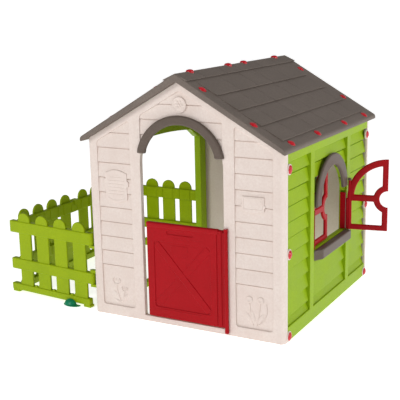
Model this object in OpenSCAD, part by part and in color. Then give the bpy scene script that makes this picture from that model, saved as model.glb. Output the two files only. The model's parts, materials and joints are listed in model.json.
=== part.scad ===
// Child's plastic playhouse with a side yard.
// A gabled house of interlocking moulded panels: cream gable walls, green side walls,
// a grey-brown two-piece roof, a red half door, two red window leaves and a picket fence.
// Frame: +Z up, +X to the right as one faces the door, +Y from the door to the back.
// Origin: on the ground under the doorway, in the middle plane of the front wall.

/* [House] */
// Width of the house across the front wall
house_w = 1000; // [900:10:1200]
// Depth of the house from front face to back face
house_d = 1132; // [1060:2:1300]
// Height of the side walls at their outer face
eave_h = 840; // [820:5:900]
// Rise of the roof per unit of run
roof_slope = 0.586; // [0.5:0.002:0.7]
// Thickness of the gable walls
gable_t = 24; // [20:1:30]
// Depth of the side wall posts
side_t = 40; // [34:1:48]
// Height of one clapboard
board_pitch = 70.93; // [70:0.01:72]

/* [Roof] */
// Vertical thickness of the roof edge
roof_t = 34; // [30:1:44]
// Overhang past the front wall
roof_front = 34; // [20:1:60]
// Overhang past the back wall
roof_back = 42; // [20:1:60]
// Overhang past the side walls
roof_side = 18; // [14:1:30]
// How far a shingle course stands proud at its lower edge
course_step = 8; // [4:1:10]

/* [Doorway] */
// Half of the doorway's width, which is also the radius of its arch
door_half = 212; // [200:1:215]
// Height of the centre of the doorway's arch
door_arch_z = 757; // [740:1:765]
// Height of the doorway's sill
sill_h = 27; // [20:1:40]
// Top of the half door
leaf_top = 490; // [420:5:520]
// How far the half door can swing out
door_swing = 110; // [90:5:120]

/* [Window] */
// Half of the window opening's width
window_half = 212; // [206:1:216]
// Height of the centre of the window's arch
window_z = 500; // [490:1:510]
// Bottom of the window opening
window_low = 336; // [330:1:345]
// Radius of the arch of a window leaf
pane_r = 200; // [190:1:202]
// How far the outer window leaf stands past square at rest
pane_rest = 9.9; // [0:0.1:20]

/* [Fence] */
// Height of the pickets
picket_h = 432; // [400:1:450]
// Width of a picket
picket_w = 88; // [70:1:92]
// Angle between the closed gate and the front wall
gate_skew = 5.4; // [0:0.1:8]
// Length of the gate
gate_l = 562; // [550:1:566]

/* [Hidden] */
$fn = 96;
e = 1;
hw = house_w / 2;
front_y = -gable_t / 2;
back_y = front_y + house_d;
mid_y = front_y + house_d / 2;
wrap = 38;
skin = 12;
under_z = eave_h + 1 + roof_slope * hw;
roof_x = hw + roof_side;
roof_y0 = front_y - roof_front;
roof_y1 = back_y + roof_back;
roof_a = atan(roof_slope);
board_z0 = 252;
course_x = [60, 170, 273, 377, 476];
cap_r = 19;
cap_zs = [25, 399, 772];
cap_in = 50;
screw_r = 3;
eave_caps = [-482, -178, 178, 482];
eave_cap_x = hw - 5;
ridge_caps = [-461, -85, 85, 461];
gable_caps = [116, 357];
gable_cap_y0 = front_y + 6;
gable_cap_y1 = back_y - 16;
course_y0 = roof_y0 + 72;
course_y1 = roof_y1 - 100;
pin_r = 4;
fit = 0.06;
hinge_x = 226;
hinge_y = front_y - 10;
hinge_r = 9;
hood_r0 = 151;
hood_r1 = 210;
hood_z = 548;
hood_t = 11.5;
pane_w = 205;
pane_t = 14;
bar = 28;
pane_low = 339;
notch_r = 41;
out_x = hw + 20;
out_y = mid_y + 208;
in_x = hw - 24;
in_y = mid_y - 204;
pane_pin_r = 3;
in_barrel_r = 6.5;
in_lug_z = 525.5;
out_barrel_r = 8;
out_lug_z = 589.5;
lug_h = 11;
strip_top = 525;
gate_x = -hw - 33;
gate_y = 24;
knuckle_r = 15;
fence_x = -hw - 533;
fence_t = 32;
slat_t = 22;
rail_zs = [[126, 184], [322, 384]];
gate_lug_zs = [112, 184.6, 308];
gate_lug_h = 13.4;
rear_x1 = -hw - 14;
yard_y0 = 90;
yard_joint = 572;
yard_y1 = mid_y + 530;

// ---------- Shared shapes ----------

// Copies the children to the left side as well.
module both_sides() {
    children();
    mirror([1, 0, 0]) children();
}

// Extrudes an outline drawn in X and Z along Y, from y0 to y1.
module along_y(y0, y1) {
    translate([0, y1, 0]) rotate([90, 0, 0]) linear_extrude(y1 - y0) children();
}

// Extrudes an outline drawn in Y and Z along X, from x0 to x1.
module along_x(x0, x1) {
    translate([x0, 0, 0]) rotate([90, 0, 90]) linear_extrude(x1 - x0) children();
}

// Pentagon of a gable wall: its top follows the roof's underside, less a rim.
module gable_outline(half, low, rim) {
    top = under_z - rim;
    polygon([[-half, low], [half, low], [half, top - roof_slope * half],
        [0, top], [-half, top - roof_slope * half]]);
}

// Doorway with an arched head.
module arch_outline(half, low, centre) {
    translate([-half, low]) square([2 * half, centre - low]);
    translate([0, centre]) circle(half);
}

// Saw-tooth edge of clapboards: depth under the face and height, board by board.
function board_edge(z0, z1, near, far) = [
    for (k = [-3:11])
        let (low = board_z0 + k * board_pitch, high = low + board_pitch)
        if (high > z0 && low < z1)
            each [[near, max(low, z0)], [far, min(high, z1)]]
];

// ---------- Gable walls ----------

// Recessed fields of a gable wall: a tall one on each side and the one in the gable.
module side_field() {
    intersection() {
        translate([266, 50]) square([180, 900]);
        gable_outline(hw, 0, 34);
    }
}

module middle_field(low) {
    intersection() {
        translate([-208, low]) square([416, 1200]);
        gable_outline(hw, 0, 42);
    }
}

// Clapboards that fill the fields, 4 to 8 deep under the wall's face.
module gable_boards(low) {
    edge = board_edge(50, 1120, 4, 8);
    intersection() {
        along_x(-hw, hw)
            polygon([for (p = edge) [front_y + p[0], p[1]], [front_y + 14, 1120], [front_y + 14, 50]]);
        along_y(front_y, front_y + 14) {
            both_sides() side_field();
            middle_field(low);
        }
    }
}

// Holes for the wall fasteners, across the corners.
module corner_holes(r) {
    for (z = cap_zs, y = [front_y + cap_in, back_y - cap_in])
        both_sides() translate([hw - side_t + 4, y, z]) rotate([0, 90, 0]) cylinder(r = r, h = side_t + 4);
}

// Holes for the roof fasteners, square to the slope.
module roof_holes(r) {
    both_sides() {
        for (x = gable_caps, y = [gable_cap_y0, gable_cap_y1])
            on_roof(x, y) translate([0, 0, -62]) cylinder(r = r, h = 64);
        for (dy = eave_caps)
            on_roof(eave_cap_x, mid_y + dy) translate([0, 0, -62]) cylinder(r = r, h = 64);
    }
}

// Moves the children onto the roof's top plane, with their Z square to the slope.
module on_roof(x, y) {
    translate([x, y, under_z + roof_t - roof_slope * x]) rotate([0, roof_a, 0]) children();
}

module gable_shell(low) {
    difference() {
        along_y(front_y, front_y + gable_t) gable_outline(hw, 0, 0);
        along_y(front_y - e, front_y + 12) {
            both_sides() side_field();
            middle_field(low);
        }
    }
    gable_boards(low);
    both_sides() {
        translate([hw - skin, front_y + gable_t, 0]) cube([skin, wrap - gable_t, eave_h]);
        for (z = cap_zs)
            translate([hw, front_y + cap_in, z]) rotate([0, 90, 0]) cylinder(r = 24, h = 4);
    }
}

module front_wall() {
    color([0.89, 0.84, 0.81]) difference() {
        union() {
            gable_shell(door_arch_z);
            translate([0, front_y + 6, 1030]) rotate([90, 0, 0]) cylinder(r = 36, h = 8);
            translate([-414, front_y + 1, 560]) cube([133, 8, 155]);
            translate([294, front_y + 1, 578]) cube([117, 8, 72]);
        }
        along_y(front_y - e, front_y + gable_t + e) arch_outline(door_half, sill_h, door_arch_z);
        corner_holes(screw_r);
        roof_holes(screw_r);
    }
}

module back_wall() {
    color([0.89, 0.84, 0.81]) difference() {
        translate([0, back_y + front_y, 0]) mirror([0, 1, 0]) gable_shell(50);
        corner_holes(screw_r);
        roof_holes(screw_r);
    }
}

// ---------- Side walls ----------

side_y0 = front_y + wrap + 0.3;
side_y1 = back_y - wrap - 0.3;
post_half = 221;
post_w = 45;

// Clapboards of a side wall, 8 to 23 deep under the posts' face.
module side_boards() {
    edge = board_edge(68, 804, 8, 23);
    along_y(side_y0, side_y1)
        polygon([for (p = edge) [hw - p[0], p[1]], [hw - 30, 804], [hw - 30, 68]]);
}

// Everything that both side walls have: plinth, header, end posts and fastener bosses.
module side_frame() {
    x0 = hw - side_t;
    translate([x0, side_y0, 0]) cube([side_t, side_y1 - side_y0, 68]);
    translate([x0, side_y0, 804]) cube([side_t, side_y1 - side_y0, eave_h - 804]);
    for (y = [side_y0, side_y1 - 20]) translate([x0, y, 0]) cube([12, 20, eave_h]);
    for (z = cap_zs, y = [front_y + cap_in, back_y - cap_in])
        translate([x0, y, z]) rotate([0, 90, 0]) cylinder(r = 10, h = side_t);
}

// Cuts what both side walls need: the fastener holes.
module side_cuts() {
    corner_holes(screw_r);
    roof_holes(screw_r);
}

module right_wall() {
    color([0.65, 0.78, 0.20]) difference() {
        union() {
            side_frame();
            side_boards();
            for (s = [-1, 1]) {
                y = mid_y + s * (post_half + post_w / 2);
                translate([hw - side_t, y - post_w / 2, 60]) cube([side_t, post_w, 750]);
            }
        }
        translate([0, mid_y, 0]) along_x(hw - side_t - e, hw + e)
            arch_outline(window_half, window_low, window_z);
        translate([in_x, in_y, pane_low - 23]) cylinder(r = pane_pin_r, h = 60);
        side_cuts();
    }
}

// Opening of the left wall: a wide flat arch with a stepped shoulder at each side.
module yard_opening() {
    r = 2860;
    intersection() {
        translate([-462, sill_h]) square([924, 790 - sill_h]);
        union() {
            polygon([[-362, sill_h], [-362, 767], [-399, 743], [-432, 721], [-462, 711], [-462, sill_h]]);
            polygon([[362, sill_h], [362, 767], [399, 743], [432, 721], [462, 711], [462, sill_h]]);
            intersection() {
                translate([-362, sill_h]) square([724, 800]);
                translate([0, 790 - r]) circle(r, $fn = 360);
            }
        }
    }
}

module left_wall() {
    color([0.65, 0.78, 0.20]) difference() {
        mirror([1, 0, 0]) union() {
            side_frame();
            translate([hw - side_t, side_y0, 60]) cube([side_t, 67, 750]);
            translate([hw - side_t, side_y1 - 67, 60]) cube([side_t, 67, 750]);
            translate([hw - side_t, side_y0 + 60, 700]) cube([side_t - 6, side_y1 - side_y0 - 120, 110]);
        }
        translate([0, mid_y, 0]) along_x(-hw - e, -hw + side_t + e) yard_opening();
        mirror([1, 0, 0]) side_cuts();
        at_bracket_screws() translate([0, 0, -e]) cylinder(r = screw_r, h = 30);
    }
}

// ---------- Roof ----------

// Upper line of a roof half from ridge to eave, with the shingle courses standing proud.
function course_line() = [
    [0, 0],
    for (i = [0:len(course_x) - 1])
        each [[course_x[i], course_step], [course_x[i] + 1, 0]],
    [roof_x - 8, 0]
];

module roof_half() {
    top = under_z + roof_t;
    difference() {
        union() {
            along_y(roof_y0, roof_y1) polygon([[0, top], [roof_x - 8, top - roof_slope * (roof_x - 8)],
                [roof_x, top - roof_slope * roof_x - 8], [roof_x, top - roof_slope * roof_x - 22],
                [roof_x - 6, top - roof_slope * (roof_x - 6) - roof_t], [0, top - roof_t]]);
            along_y(course_y0, course_y1)
                polygon([for (p = course_line()) [p[0], top - roof_slope * p[0] + p[1]],
                    [roof_x - 8, top - roof_slope * (roof_x - 8) - 10], [0, top - 10]]);
            along_y(roof_y0 + 3, roof_y1 - 3)
                polygon([[0, top], [course_x[0], top - roof_slope * course_x[0] + course_step],
                    [course_x[0] + 1, top - roof_slope * course_x[0] - 10], [0, top - 10]]);
        }
        along_y(front_y + gable_t + 16, back_y - gable_t - 16)
            polygon([[14, top - roof_t - e - roof_slope * 14], [14, top - 11 - roof_slope * 14],
                [hw - side_t - 6, top - 11 - roof_slope * (hw - side_t - 6)],
                [hw - side_t - 6, top - roof_t - e - roof_slope * (hw - side_t - 6)]]);
        roof_holes(screw_r);
        ridge_seats();
    }
}

// Seats across the ridge for the ties that join the two halves.
module ridge_seats() {
    for (dy = ridge_caps)
        translate([0, mid_y + dy, under_z + roof_t - 26]) cylinder(r = 11, h = 60);
}

module roof_right() { color([0.42, 0.38, 0.34]) roof_half(); }
module roof_left() { color([0.42, 0.38, 0.34]) mirror([1, 0, 0]) roof_half(); }

// ---------- Fasteners and their caps ----------

// Round push-on cap, domed, standing on z = 0.
module cap() {
    rotate_extrude() intersection() {
        translate([0, 0]) square([cap_r, 8]);
        translate([0, -32]) circle(40);
        translate([0, 0]) circle(cap_r + 0.8);
    }
}

module wall_caps() {
    color([0.75, 0.05, 0.12]) both_sides()
        for (z = cap_zs, y = [front_y + cap_in, back_y - cap_in])
            translate([hw + 4, y, z]) rotate([0, 90, 0]) cap();
}

module wall_screws() {
    color([0.7, 0.7, 0.72]) both_sides()
        for (z = cap_zs, y = [front_y + cap_in, back_y - cap_in])
            translate([hw + 4 - 34, y, z]) rotate([0, 90, 0]) cylinder(r = screw_r, h = 34);
}

module roof_caps_right() {
    color([0.75, 0.05, 0.12]) {
        for (x = gable_caps, y = [gable_cap_y0, gable_cap_y1]) on_roof(x, y) cap();
        for (dy = eave_caps) on_roof(eave_cap_x, mid_y + dy) cap();
    }
}

module roof_caps_left() { mirror([1, 0, 0]) roof_caps_right(); }

module roof_screws() {
    color([0.7, 0.7, 0.72]) both_sides() {
        for (x = gable_caps, y = [gable_cap_y0, gable_cap_y1])
            on_roof(x, y) translate([0, 0, -52]) cylinder(r = screw_r, h = 52);
        for (dy = eave_caps)
            on_roof(eave_cap_x, mid_y + dy) translate([0, 0, -52]) cylinder(r = screw_r, h = 52);
    }
}

// Cap that straddles the ridge, hollow below so that it sits on both slopes.
module ridge_caps() {
    top = under_z + roof_t;
    drop = 40 * (roof_slope - course_step / course_x[0]);
    color([0.75, 0.05, 0.12]) for (dy = ridge_caps) difference() {
        translate([0, mid_y + dy, top - 12]) cylinder(r = cap_r, h = 20);
        along_y(mid_y + dy - 30, mid_y + dy + 30)
            polygon([[-40, top - drop], [0, top], [40, top - drop], [40, top - 60], [-40, top - 60]]);
        translate([0, mid_y + dy, top - 30]) cylinder(r = 11, h = 32);
    }
}

// Peg under each ridge cap that ties the two roof halves together.
module ridge_ties() {
    color([0.42, 0.38, 0.34]) for (dy = ridge_caps)
        translate([0, mid_y + dy, under_z + roof_t - 26]) cylinder(r = 11, h = 27.9);
}

// ---------- Hoods and sill ----------

// Ring segment in X and Z above z = low.
module ring_outline(r0, r1, low) {
    difference() {
        circle(r1);
        circle(r0);
        translate([-r1 - e, -r1 - e]) square([2 * r1 + 2 * e, r1 + e + low]);
    }
}

module door_hood() {
    color([0.41, 0.36, 0.36]) {
        translate([0, 0, door_arch_z]) along_y(front_y - 16, front_y - 0.02) ring_outline(185, 232, 47);
        translate([0, 0, door_arch_z]) along_y(front_y - 8, front_y + 14) ring_outline(203, door_half - 0.3, 60);
    }
}

module window_hood() {
    leg_w = hood_r1 - hood_r0;
    color([0.41, 0.36, 0.36]) translate([0, mid_y, 0]) along_x(hw + 0.02, hw + hood_t) {
        translate([0, hood_z]) ring_outline(hood_r0, hood_r1, 12);
        translate([-hood_r1, hood_z - 12]) intersection() {
            square([leg_w, 25]);
            translate([hood_r1, 12]) circle(hood_r1);
        }
    }
}

module window_sill() {
    color([0.41, 0.36, 0.36]) difference() {
        translate([0, mid_y, 310]) along_x(hw + 0.02, hw + 28) {
            translate([-245, -25]) square([490, 50]);
            for (s = [-1, 1]) translate([s * 245, 0]) circle(25);
        }
        translate([out_x, out_y, 312]) cylinder(r = pane_pin_r, h = 60);
    }
}

// ---------- Half door ----------

door_x0 = -185;
door_x1 = 209;
door_low = 33;
door_rim = 40;

module door_hinge_axis() {
    translate([hinge_x, hinge_y, 0]) children();
}

// Raised parts of the half door in X and Z: frame, crossed braces and hinge strip.
module door_relief() {
    w = door_x1 - door_x0;
    h = leaf_top - door_low;
    difference() {
        translate([door_x0, door_low]) square([w, h]);
        difference() {
            translate([door_x0 + door_rim, door_low + 47]) square([w - 2 * door_rim, h - 130]);
            translate([door_x0 + w / 2, 247]) for (s = [-1, 1]) rotate(s * 46)
                translate([-19, -400]) square([38, 800]);
        }
        translate([door_x0 + w / 2 - 68, 440]) square([136, 20]);
    }
}

module door_leaf() {
    color([0.70, 0.02, 0.09]) difference() {
        union() {
            translate([door_x0, front_y - 4, door_low]) cube([door_x1 - door_x0, 18, leaf_top - door_low]);
            along_y(front_y - 10, front_y - 2) door_relief();
            translate([door_x1 - 12, front_y - 8, 36]) cube([hinge_x - door_x1 + 12, 7.5, 440]);
            door_hinge_axis() translate([0, 0, 27]) cylinder(r = hinge_r, h = 456);
        }
        door_hinge_axis() translate([0, 0, 20]) cylinder(r = pin_r + fit, h = 470);
    }
}

module door_hinge_pins() {
    color([0.75, 0.75, 0.77]) door_hinge_axis() {
        translate([0, 0, 13]) cylinder(r = pin_r, h = 60);
        translate([0, 0, 437]) cylinder(r = pin_r, h = 60);
    }
}

module door_hinge_lugs() {
    color([0.70, 0.02, 0.09]) for (z = [13, 483.5]) difference() {
        union() {
            translate([hinge_x - 7, front_y - 10, z]) cube([14, 10, 13.5]);
            door_hinge_axis() translate([0, 0, z]) cylinder(r = 9.5, h = 13.5);
        }
        door_hinge_axis() translate([0, 0, z - e]) cylinder(r = pin_r, h = 20);
    }
}

// ---------- Window leaves ----------

// Leaf outline in its own plane: u runs from the hinge edge to the free edge, v is up.
module pane_frame() {
    difference() {
        intersection() {
            translate([0, pane_low]) square([pane_w, 400]);
            union() {
                translate([pane_w, window_z]) circle(pane_r);
                translate([0, pane_low]) square([pane_w, window_z - pane_low]);
            }
        }
        difference() {
            intersection() {
                translate([bar, pane_low + bar]) square([pane_w - 2 * bar, 400]);
                union() {
                    translate([pane_w, window_z]) circle(pane_r - 33);
                    translate([0, pane_low]) square([pane_w, window_z - pane_low]);
                }
            }
            translate([0, window_z - 15]) square([pane_w, 33]);
            translate([pane_w, window_z]) circle(notch_r + 30);
        }
        translate([pane_w, window_z]) circle(notch_r);
    }
}

// Hinge barrel of a leaf about its axis, up to just under its lug.
module pane_barrel(r, top) {
    translate([0, 0, pane_low]) cylinder(r = r, h = top - 0.5 - pane_low);
}

module pane_bore(top) {
    translate([0, 0, pane_low - e]) cylinder(r = pane_pin_r + fit, h = top - pane_low + 2 * e);
}

// Front leaf: shut, behind the hood, and it swings into the house.
module window_leaf_front() {
    color([0.70, 0.02, 0.09]) translate([in_x, in_y, 0]) difference() {
        union() {
            along_x(-pane_t / 2, pane_t / 2) pane_frame();
            pane_barrel(in_barrel_r, in_lug_z);
        }
        pane_bore(in_lug_z);
    }
}

// Back leaf: open past square, and it shuts in front of the hood.
module window_leaf_back() {
    color([0.70, 0.02, 0.09]) translate([out_x, out_y, 0]) rotate([0, 0, pane_rest]) difference() {
        union() {
            translate([-17, 0, 0]) along_y(-pane_t / 2, pane_t / 2) pane_frame();
            pane_barrel(out_barrel_r, out_lug_z);
        }
        pane_bore(out_lug_z);
    }
}

// Lower and upper pin of a leaf, the upper one running into the lug above the barrel.
module pane_pins(lug_z) {
    translate([0, 0, pane_low - 22]) cylinder(r = pane_pin_r, h = 45);
    translate([0, 0, lug_z - 30]) cylinder(r = pane_pin_r, h = 30 + lug_h);
}

module window_pins_front() {
    color([0.75, 0.75, 0.77]) translate([in_x, in_y, 0]) pane_pins(in_lug_z);
}

module window_pins_back() {
    color([0.75, 0.75, 0.77]) translate([out_x, out_y, 0]) pane_pins(out_lug_z);
}

// Lug on the front jamb that holds the front leaf's upper pin.
module window_lug_front() {
    r = pane_pin_r + 1.6;
    jamb_y = mid_y - sqrt(pow(window_half, 2) - pow(in_lug_z + lug_h - window_z, 2)) + 0.15;
    color([0.65, 0.78, 0.20]) difference() {
        union() {
            translate([in_x - r, jamb_y, in_lug_z]) cube([2 * r, in_y - jamb_y, lug_h]);
            translate([in_x, in_y, in_lug_z]) cylinder(r = r, h = lug_h);
        }
        translate([in_x, in_y, in_lug_z - e]) cylinder(r = pane_pin_r, h = lug_h + 2 * e);
    }
}

// Lug on the hood that holds the back leaf's upper pin.
module window_lug_back() {
    r = out_barrel_r;
    color([0.41, 0.36, 0.36]) difference() {
        union() {
            translate([hw + hood_t + 0.02, out_y - r, out_lug_z])
                cube([out_x - hw - hood_t - 0.02, 2 * r, lug_h]);
            translate([out_x, out_y, out_lug_z]) cylinder(r = r, h = lug_h);
        }
        translate([out_x, out_y, out_lug_z - e]) cylinder(r = pane_pin_r, h = lug_h + 2 * e);
    }
}

// Red strips on both jambs beside the leaves' hinge edges, from the sill to the arch.
module window_jamb_strips() {
    inner = window_half - 0.02;
    color([0.70, 0.02, 0.09]) translate([0, mid_y, 0]) {
        along_x(472, hw - 0.5) intersection() {
            translate([203.5, pane_low]) square([20, strip_top - pane_low]);
            arch_outline(inner, pane_low, window_z);
        }
        along_x(486, hw - 0.5) intersection() {
            translate([-220, pane_low]) square([11, strip_top - pane_low]);
            arch_outline(inner, pane_low, window_z);
        }
    }
}

// ---------- Fence ----------

// Picket panel in X and Z: slats at the given places, two rails and a base rail with feet.
module panel(length, first, pitch, count, knuckle) {
    for (i = [0:count - 1]) translate([first + i * pitch - picket_w / 2, -slat_t / 2, 12])
        cube([picket_w, slat_t, picket_h - 12 - picket_w / 2]);
    for (i = [0:count - 1]) translate([first + i * pitch, slat_t / 2, picket_h - picket_w / 2])
        rotate([90, 0, 0]) cylinder(r = picket_w / 2, h = slat_t);
    for (z = rail_zs) translate([0, -fence_t / 2, z[0]]) cube([length - knuckle, fence_t, z[1] - z[0]]);
    translate([0, -fence_t / 2, 12]) cube([length - (knuckle > 0 ? 2 * knuckle_r : 0), fence_t, 34]);
    for (x = [4, length - 70]) translate([x, -fence_t / 2, 1]) cube([44, fence_t, 12]);
}

// Puts the gate's own frame, which runs away from its hinge, into place.
module at_gate() {
    translate([gate_x, gate_y, 0]) rotate([0, 0, -gate_skew]) children();
}

module fence_gate() {
    l = gate_l - knuckle_r;
    color([0.63, 0.72, 0.05]) at_gate() difference() {
        union() {
            translate([-l, 0, 0]) panel(gate_l, gate_l - 456, 120, 4, knuckle_r);
            for (z = rail_zs) translate([0, 0, z[0]]) cylinder(r = knuckle_r + 1, h = z[1] - z[0]);
        }
        for (z = rail_zs) translate([0, 0, z[0] - e]) cylinder(r = pin_r + fit, h = z[1] - z[0] + 2 * e);
    }
}

// Half dome that carries the gate on the ground.
module gate_foot() {
    color([0, 0.47, 0.33]) at_gate() translate([-136, -fence_t / 2 - 0.02, 1]) intersection() {
        translate([0, -4, 0]) rotate_extrude() intersection() {
            square([33, 28]);
            translate([0, -6]) circle(34);
        }
        translate([-40, -40, 0]) cube([80, 40, 40]);
    }
}

module gate_hinge_pins() {
    color([0.75, 0.75, 0.77]) translate([gate_x, gate_y, 0]) {
        translate([0, 0, gate_lug_zs[0]]) cylinder(r = pin_r, h = 86);
        translate([0, 0, gate_lug_zs[2]]) cylinder(r = pin_r, h = 70);
    }
}

// Places of the bracket screws on the left wall, square to its face.
module at_bracket_screws() {
    for (z = gate_lug_zs)
        translate([-hw, gate_y + 26, z + gate_lug_h / 2]) rotate([0, 90, 0]) children();
    for (z = rail_zs)
        translate([-hw, yard_y1 - 36, z[0] + 24]) rotate([0, 90, 0]) children();
}

module gate_hinge_brackets() {
    color([0.63, 0.72, 0.05]) difference() {
        for (z = gate_lug_zs) {
            translate([gate_x, gate_y - 11, z]) cube([-hw - gate_x - 8, 22, gate_lug_h]);
            translate([gate_x, gate_y, z]) cylinder(r = 11, h = gate_lug_h);
            translate([-hw - 8.02, gate_y - 11, z]) cube([8, 46, gate_lug_h]);
        }
        for (z = gate_lug_zs) translate([gate_x, gate_y, z - e]) cylinder(r = pin_r, h = 20);
        at_bracket_screws() translate([0, 0, -20]) cylinder(r = screw_r, h = 30);
    }
}

module fence_side_front() {
    l = yard_joint - yard_y0;
    color([0.63, 0.72, 0.05]) translate([fence_x, yard_y0, 0]) rotate([0, 0, 90]) panel(l, 46, 118, 4, 0);
}

module fence_side_back() {
    l = yard_y1 - yard_joint - 0.5;
    color([0.63, 0.72, 0.05]) translate([fence_x, yard_joint + 0.5, 0]) rotate([0, 0, 90])
        panel(l, 82, 118, 4, 0);
}

module fence_rear() {
    x0 = fence_x + fence_t / 2 + 0.5;
    l = rear_x1 - x0;
    color([0.63, 0.72, 0.05]) translate([x0, yard_y1 - fence_t / 2, 0]) difference() {
        panel(l, 76, 114.5, 4, 0);
        for (z = rail_zs) translate([l - 20, -5, z[0] - e]) cube([30, 10, z[1] - z[0] + 2 * e]);
    }
}

// Saddle clips over the rails where the two side panels meet.
module fence_joint_clips() {
    color([0.63, 0.72, 0.05]) for (z = rail_zs) difference() {
        translate([fence_x - 20, yard_joint - 24, z[1] - 22]) cube([40, 48, 27]);
        translate([fence_x - fence_t / 2 - 0.02, yard_joint - 30, z[1] - 30])
            cube([fence_t + 0.04, 60, 30.02]);
    }
}

// Angle brackets inside the yard's rear corner.
module fence_corner_clips() {
    x = fence_x + fence_t / 2;
    y = yard_y1 - fence_t;
    color([0.63, 0.72, 0.05]) for (z = rail_zs) {
        translate([x + 0.02, y - 34, z[0] + 8]) cube([5, 34 - 0.02, z[1] - z[0] - 16]);
        translate([x + 0.02, y - 5.02, z[0] + 8]) cube([36, 5, z[1] - z[0] - 16]);
    }
}

// Tongue plates on the left wall that hold the rear panel.
module fence_wall_brackets() {
    h = 46;
    color([0.65, 0.78, 0.20]) difference() {
        for (z = rail_zs) {
            translate([rear_x1 - 19, yard_y1 - fence_t / 2 - 4.9, z[0] + 3]) cube([-hw - rear_x1 + 15, 9.8, h]);
            translate([-hw - 6.02, yard_y1 - 44, z[0] + 3]) cube([6, 40, h]);
        }
        at_bracket_screws() translate([0, 0, -10]) cylinder(r = screw_r, h = 30);
    }
}

// Screws of the gate's brackets, 8 thick, and of the rear brackets, 6 thick.
module fence_bracket_screws() {
    color([0.7, 0.7, 0.72]) at_bracket_screws() translate([0, 0, -6]) cylinder(r = screw_r, h = 32);
}

// ---------- Assembly ----------

front_wall();
back_wall();
left_wall();
right_wall();
roof_left();
roof_right();
wall_caps();
wall_screws();
roof_caps_left();
roof_caps_right();
roof_screws();
ridge_caps();
ridge_ties();
door_hood();
window_hood();
window_sill();
door_leaf();
door_hinge_pins();
door_hinge_lugs();
window_leaf_front();
window_leaf_back();
window_pins_front();
window_pins_back();
window_lug_front();
window_lug_back();
window_jamb_strips();
fence_gate();
gate_foot();
gate_hinge_pins();
gate_hinge_brackets();
fence_side_front();
fence_side_back();
fence_rear();
fence_joint_clips();
fence_corner_clips();
fence_wall_brackets();
fence_bracket_screws();
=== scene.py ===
"""Moulded plastic playhouse with a half door, an arched window and a fenced yard.

Lengths are millimetres in the row frame until a piece is placed, when they become metres.
"""
import json
import logging
import math
from collections.abc import Callable, Iterable, Sequence
from dataclasses import dataclass, field
from enum import Enum

import bmesh
import bpy
from mathutils import Matrix, Vector


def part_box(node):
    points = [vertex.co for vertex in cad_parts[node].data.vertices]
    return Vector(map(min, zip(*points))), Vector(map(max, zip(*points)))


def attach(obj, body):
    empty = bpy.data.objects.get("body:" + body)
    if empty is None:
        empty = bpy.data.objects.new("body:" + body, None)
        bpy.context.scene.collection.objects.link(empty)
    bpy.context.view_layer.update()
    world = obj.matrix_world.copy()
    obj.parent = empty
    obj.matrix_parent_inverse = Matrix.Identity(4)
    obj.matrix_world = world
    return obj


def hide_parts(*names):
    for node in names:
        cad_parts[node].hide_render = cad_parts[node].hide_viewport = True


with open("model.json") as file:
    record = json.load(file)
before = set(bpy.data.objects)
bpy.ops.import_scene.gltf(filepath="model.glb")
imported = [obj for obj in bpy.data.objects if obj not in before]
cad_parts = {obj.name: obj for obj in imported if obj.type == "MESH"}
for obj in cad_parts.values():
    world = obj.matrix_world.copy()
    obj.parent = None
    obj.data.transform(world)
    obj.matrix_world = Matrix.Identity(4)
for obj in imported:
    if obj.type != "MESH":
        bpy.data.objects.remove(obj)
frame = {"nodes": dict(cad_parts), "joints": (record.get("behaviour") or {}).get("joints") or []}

LOG = logging.getLogger("playhouse")
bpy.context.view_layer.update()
MM = 0.001
Point = tuple[float, float]
Outline = list[Point]


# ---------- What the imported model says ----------


def span(node: str) -> tuple[Vector, Vector]:
    """Gives a CAD node's lowest and highest corner in millimetres.

    Args:
        node: Name of the CAD node.

    Returns:
        The two corners at rest.
    """
    low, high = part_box(node)
    return low / MM, high / MM


def pivot(joint: str) -> Vector:
    """Gives a joint's place in millimetres.

    Args:
        joint: Name of the joint.

    Returns:
        The point that its axis passes through.
    """
    found = next(j for j in frame["joints"] if j["name"] == joint)
    return Vector(found["pos_m"]) / MM


@dataclass
class House:
    """Main sizes of the house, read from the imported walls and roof."""

    half: float = field(default_factory=lambda: span("right_wall")[1].x)
    front: float = field(default_factory=lambda: span("roof_right")[0].y + 34)
    back: float = field(default_factory=lambda: span("roof_right")[1].y - 42)
    eave: float = field(default_factory=lambda: span("right_wall")[1].z)
    apex: float = field(default_factory=lambda: span("front_wall")[1].z)
    board_first: float = 252
    board_pitch: float = 70.93
    eave_lift: float = 10
    cap_heights: tuple[float, ...] = (25, 399, 772)
    cap_inset: float = 50

    @property
    def middle(self) -> float:
        """The y of the house's middle."""
        return (self.front + self.back) / 2

    @property
    def slope(self) -> float:
        """Rise of the roof per unit of run."""
        return (self.apex - self.eave - 1) / self.half

    @property
    def rake(self) -> float:
        """Rise of the roof's underside, which is a little flatter than its top."""
        return self.slope - self.eave_lift / self.half

    def under_roof(self, x: float) -> float:
        """Height of the roof's underside at a distance from the middle plane."""
        return self.apex - self.rake * abs(x)

    def cap_places(self) -> list[Point]:
        """The y and z of the wall fasteners on either side."""
        ends = (self.front + self.cap_inset, self.back - self.cap_inset)
        return [(y, z) for y in ends for z in self.cap_heights]


# ---------- Outlines ----------


def arc(u: float, v: float, radius: float, start: float, end: float, steps: int) -> Outline:
    """Gives points along a circle.

    Args:
        u: First coordinate of the centre.
        v: Second coordinate of the centre.
        radius: Radius of the circle.
        start: First angle in degrees.
        end: Last angle in degrees.
        steps: Number of chords.

    Returns:
        The points, both ends included.
    """
    angles = (math.radians(start + (end - start) * i / steps) for i in range(steps + 1))
    return [(u + radius * math.cos(a), v + radius * math.sin(a)) for a in angles]


def rectangle(u0: float, v0: float, u1: float, v1: float) -> Outline:
    """Gives the four corners of a rectangle."""
    return [(u0, v0), (u1, v0), (u1, v1), (u0, v1)]


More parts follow.
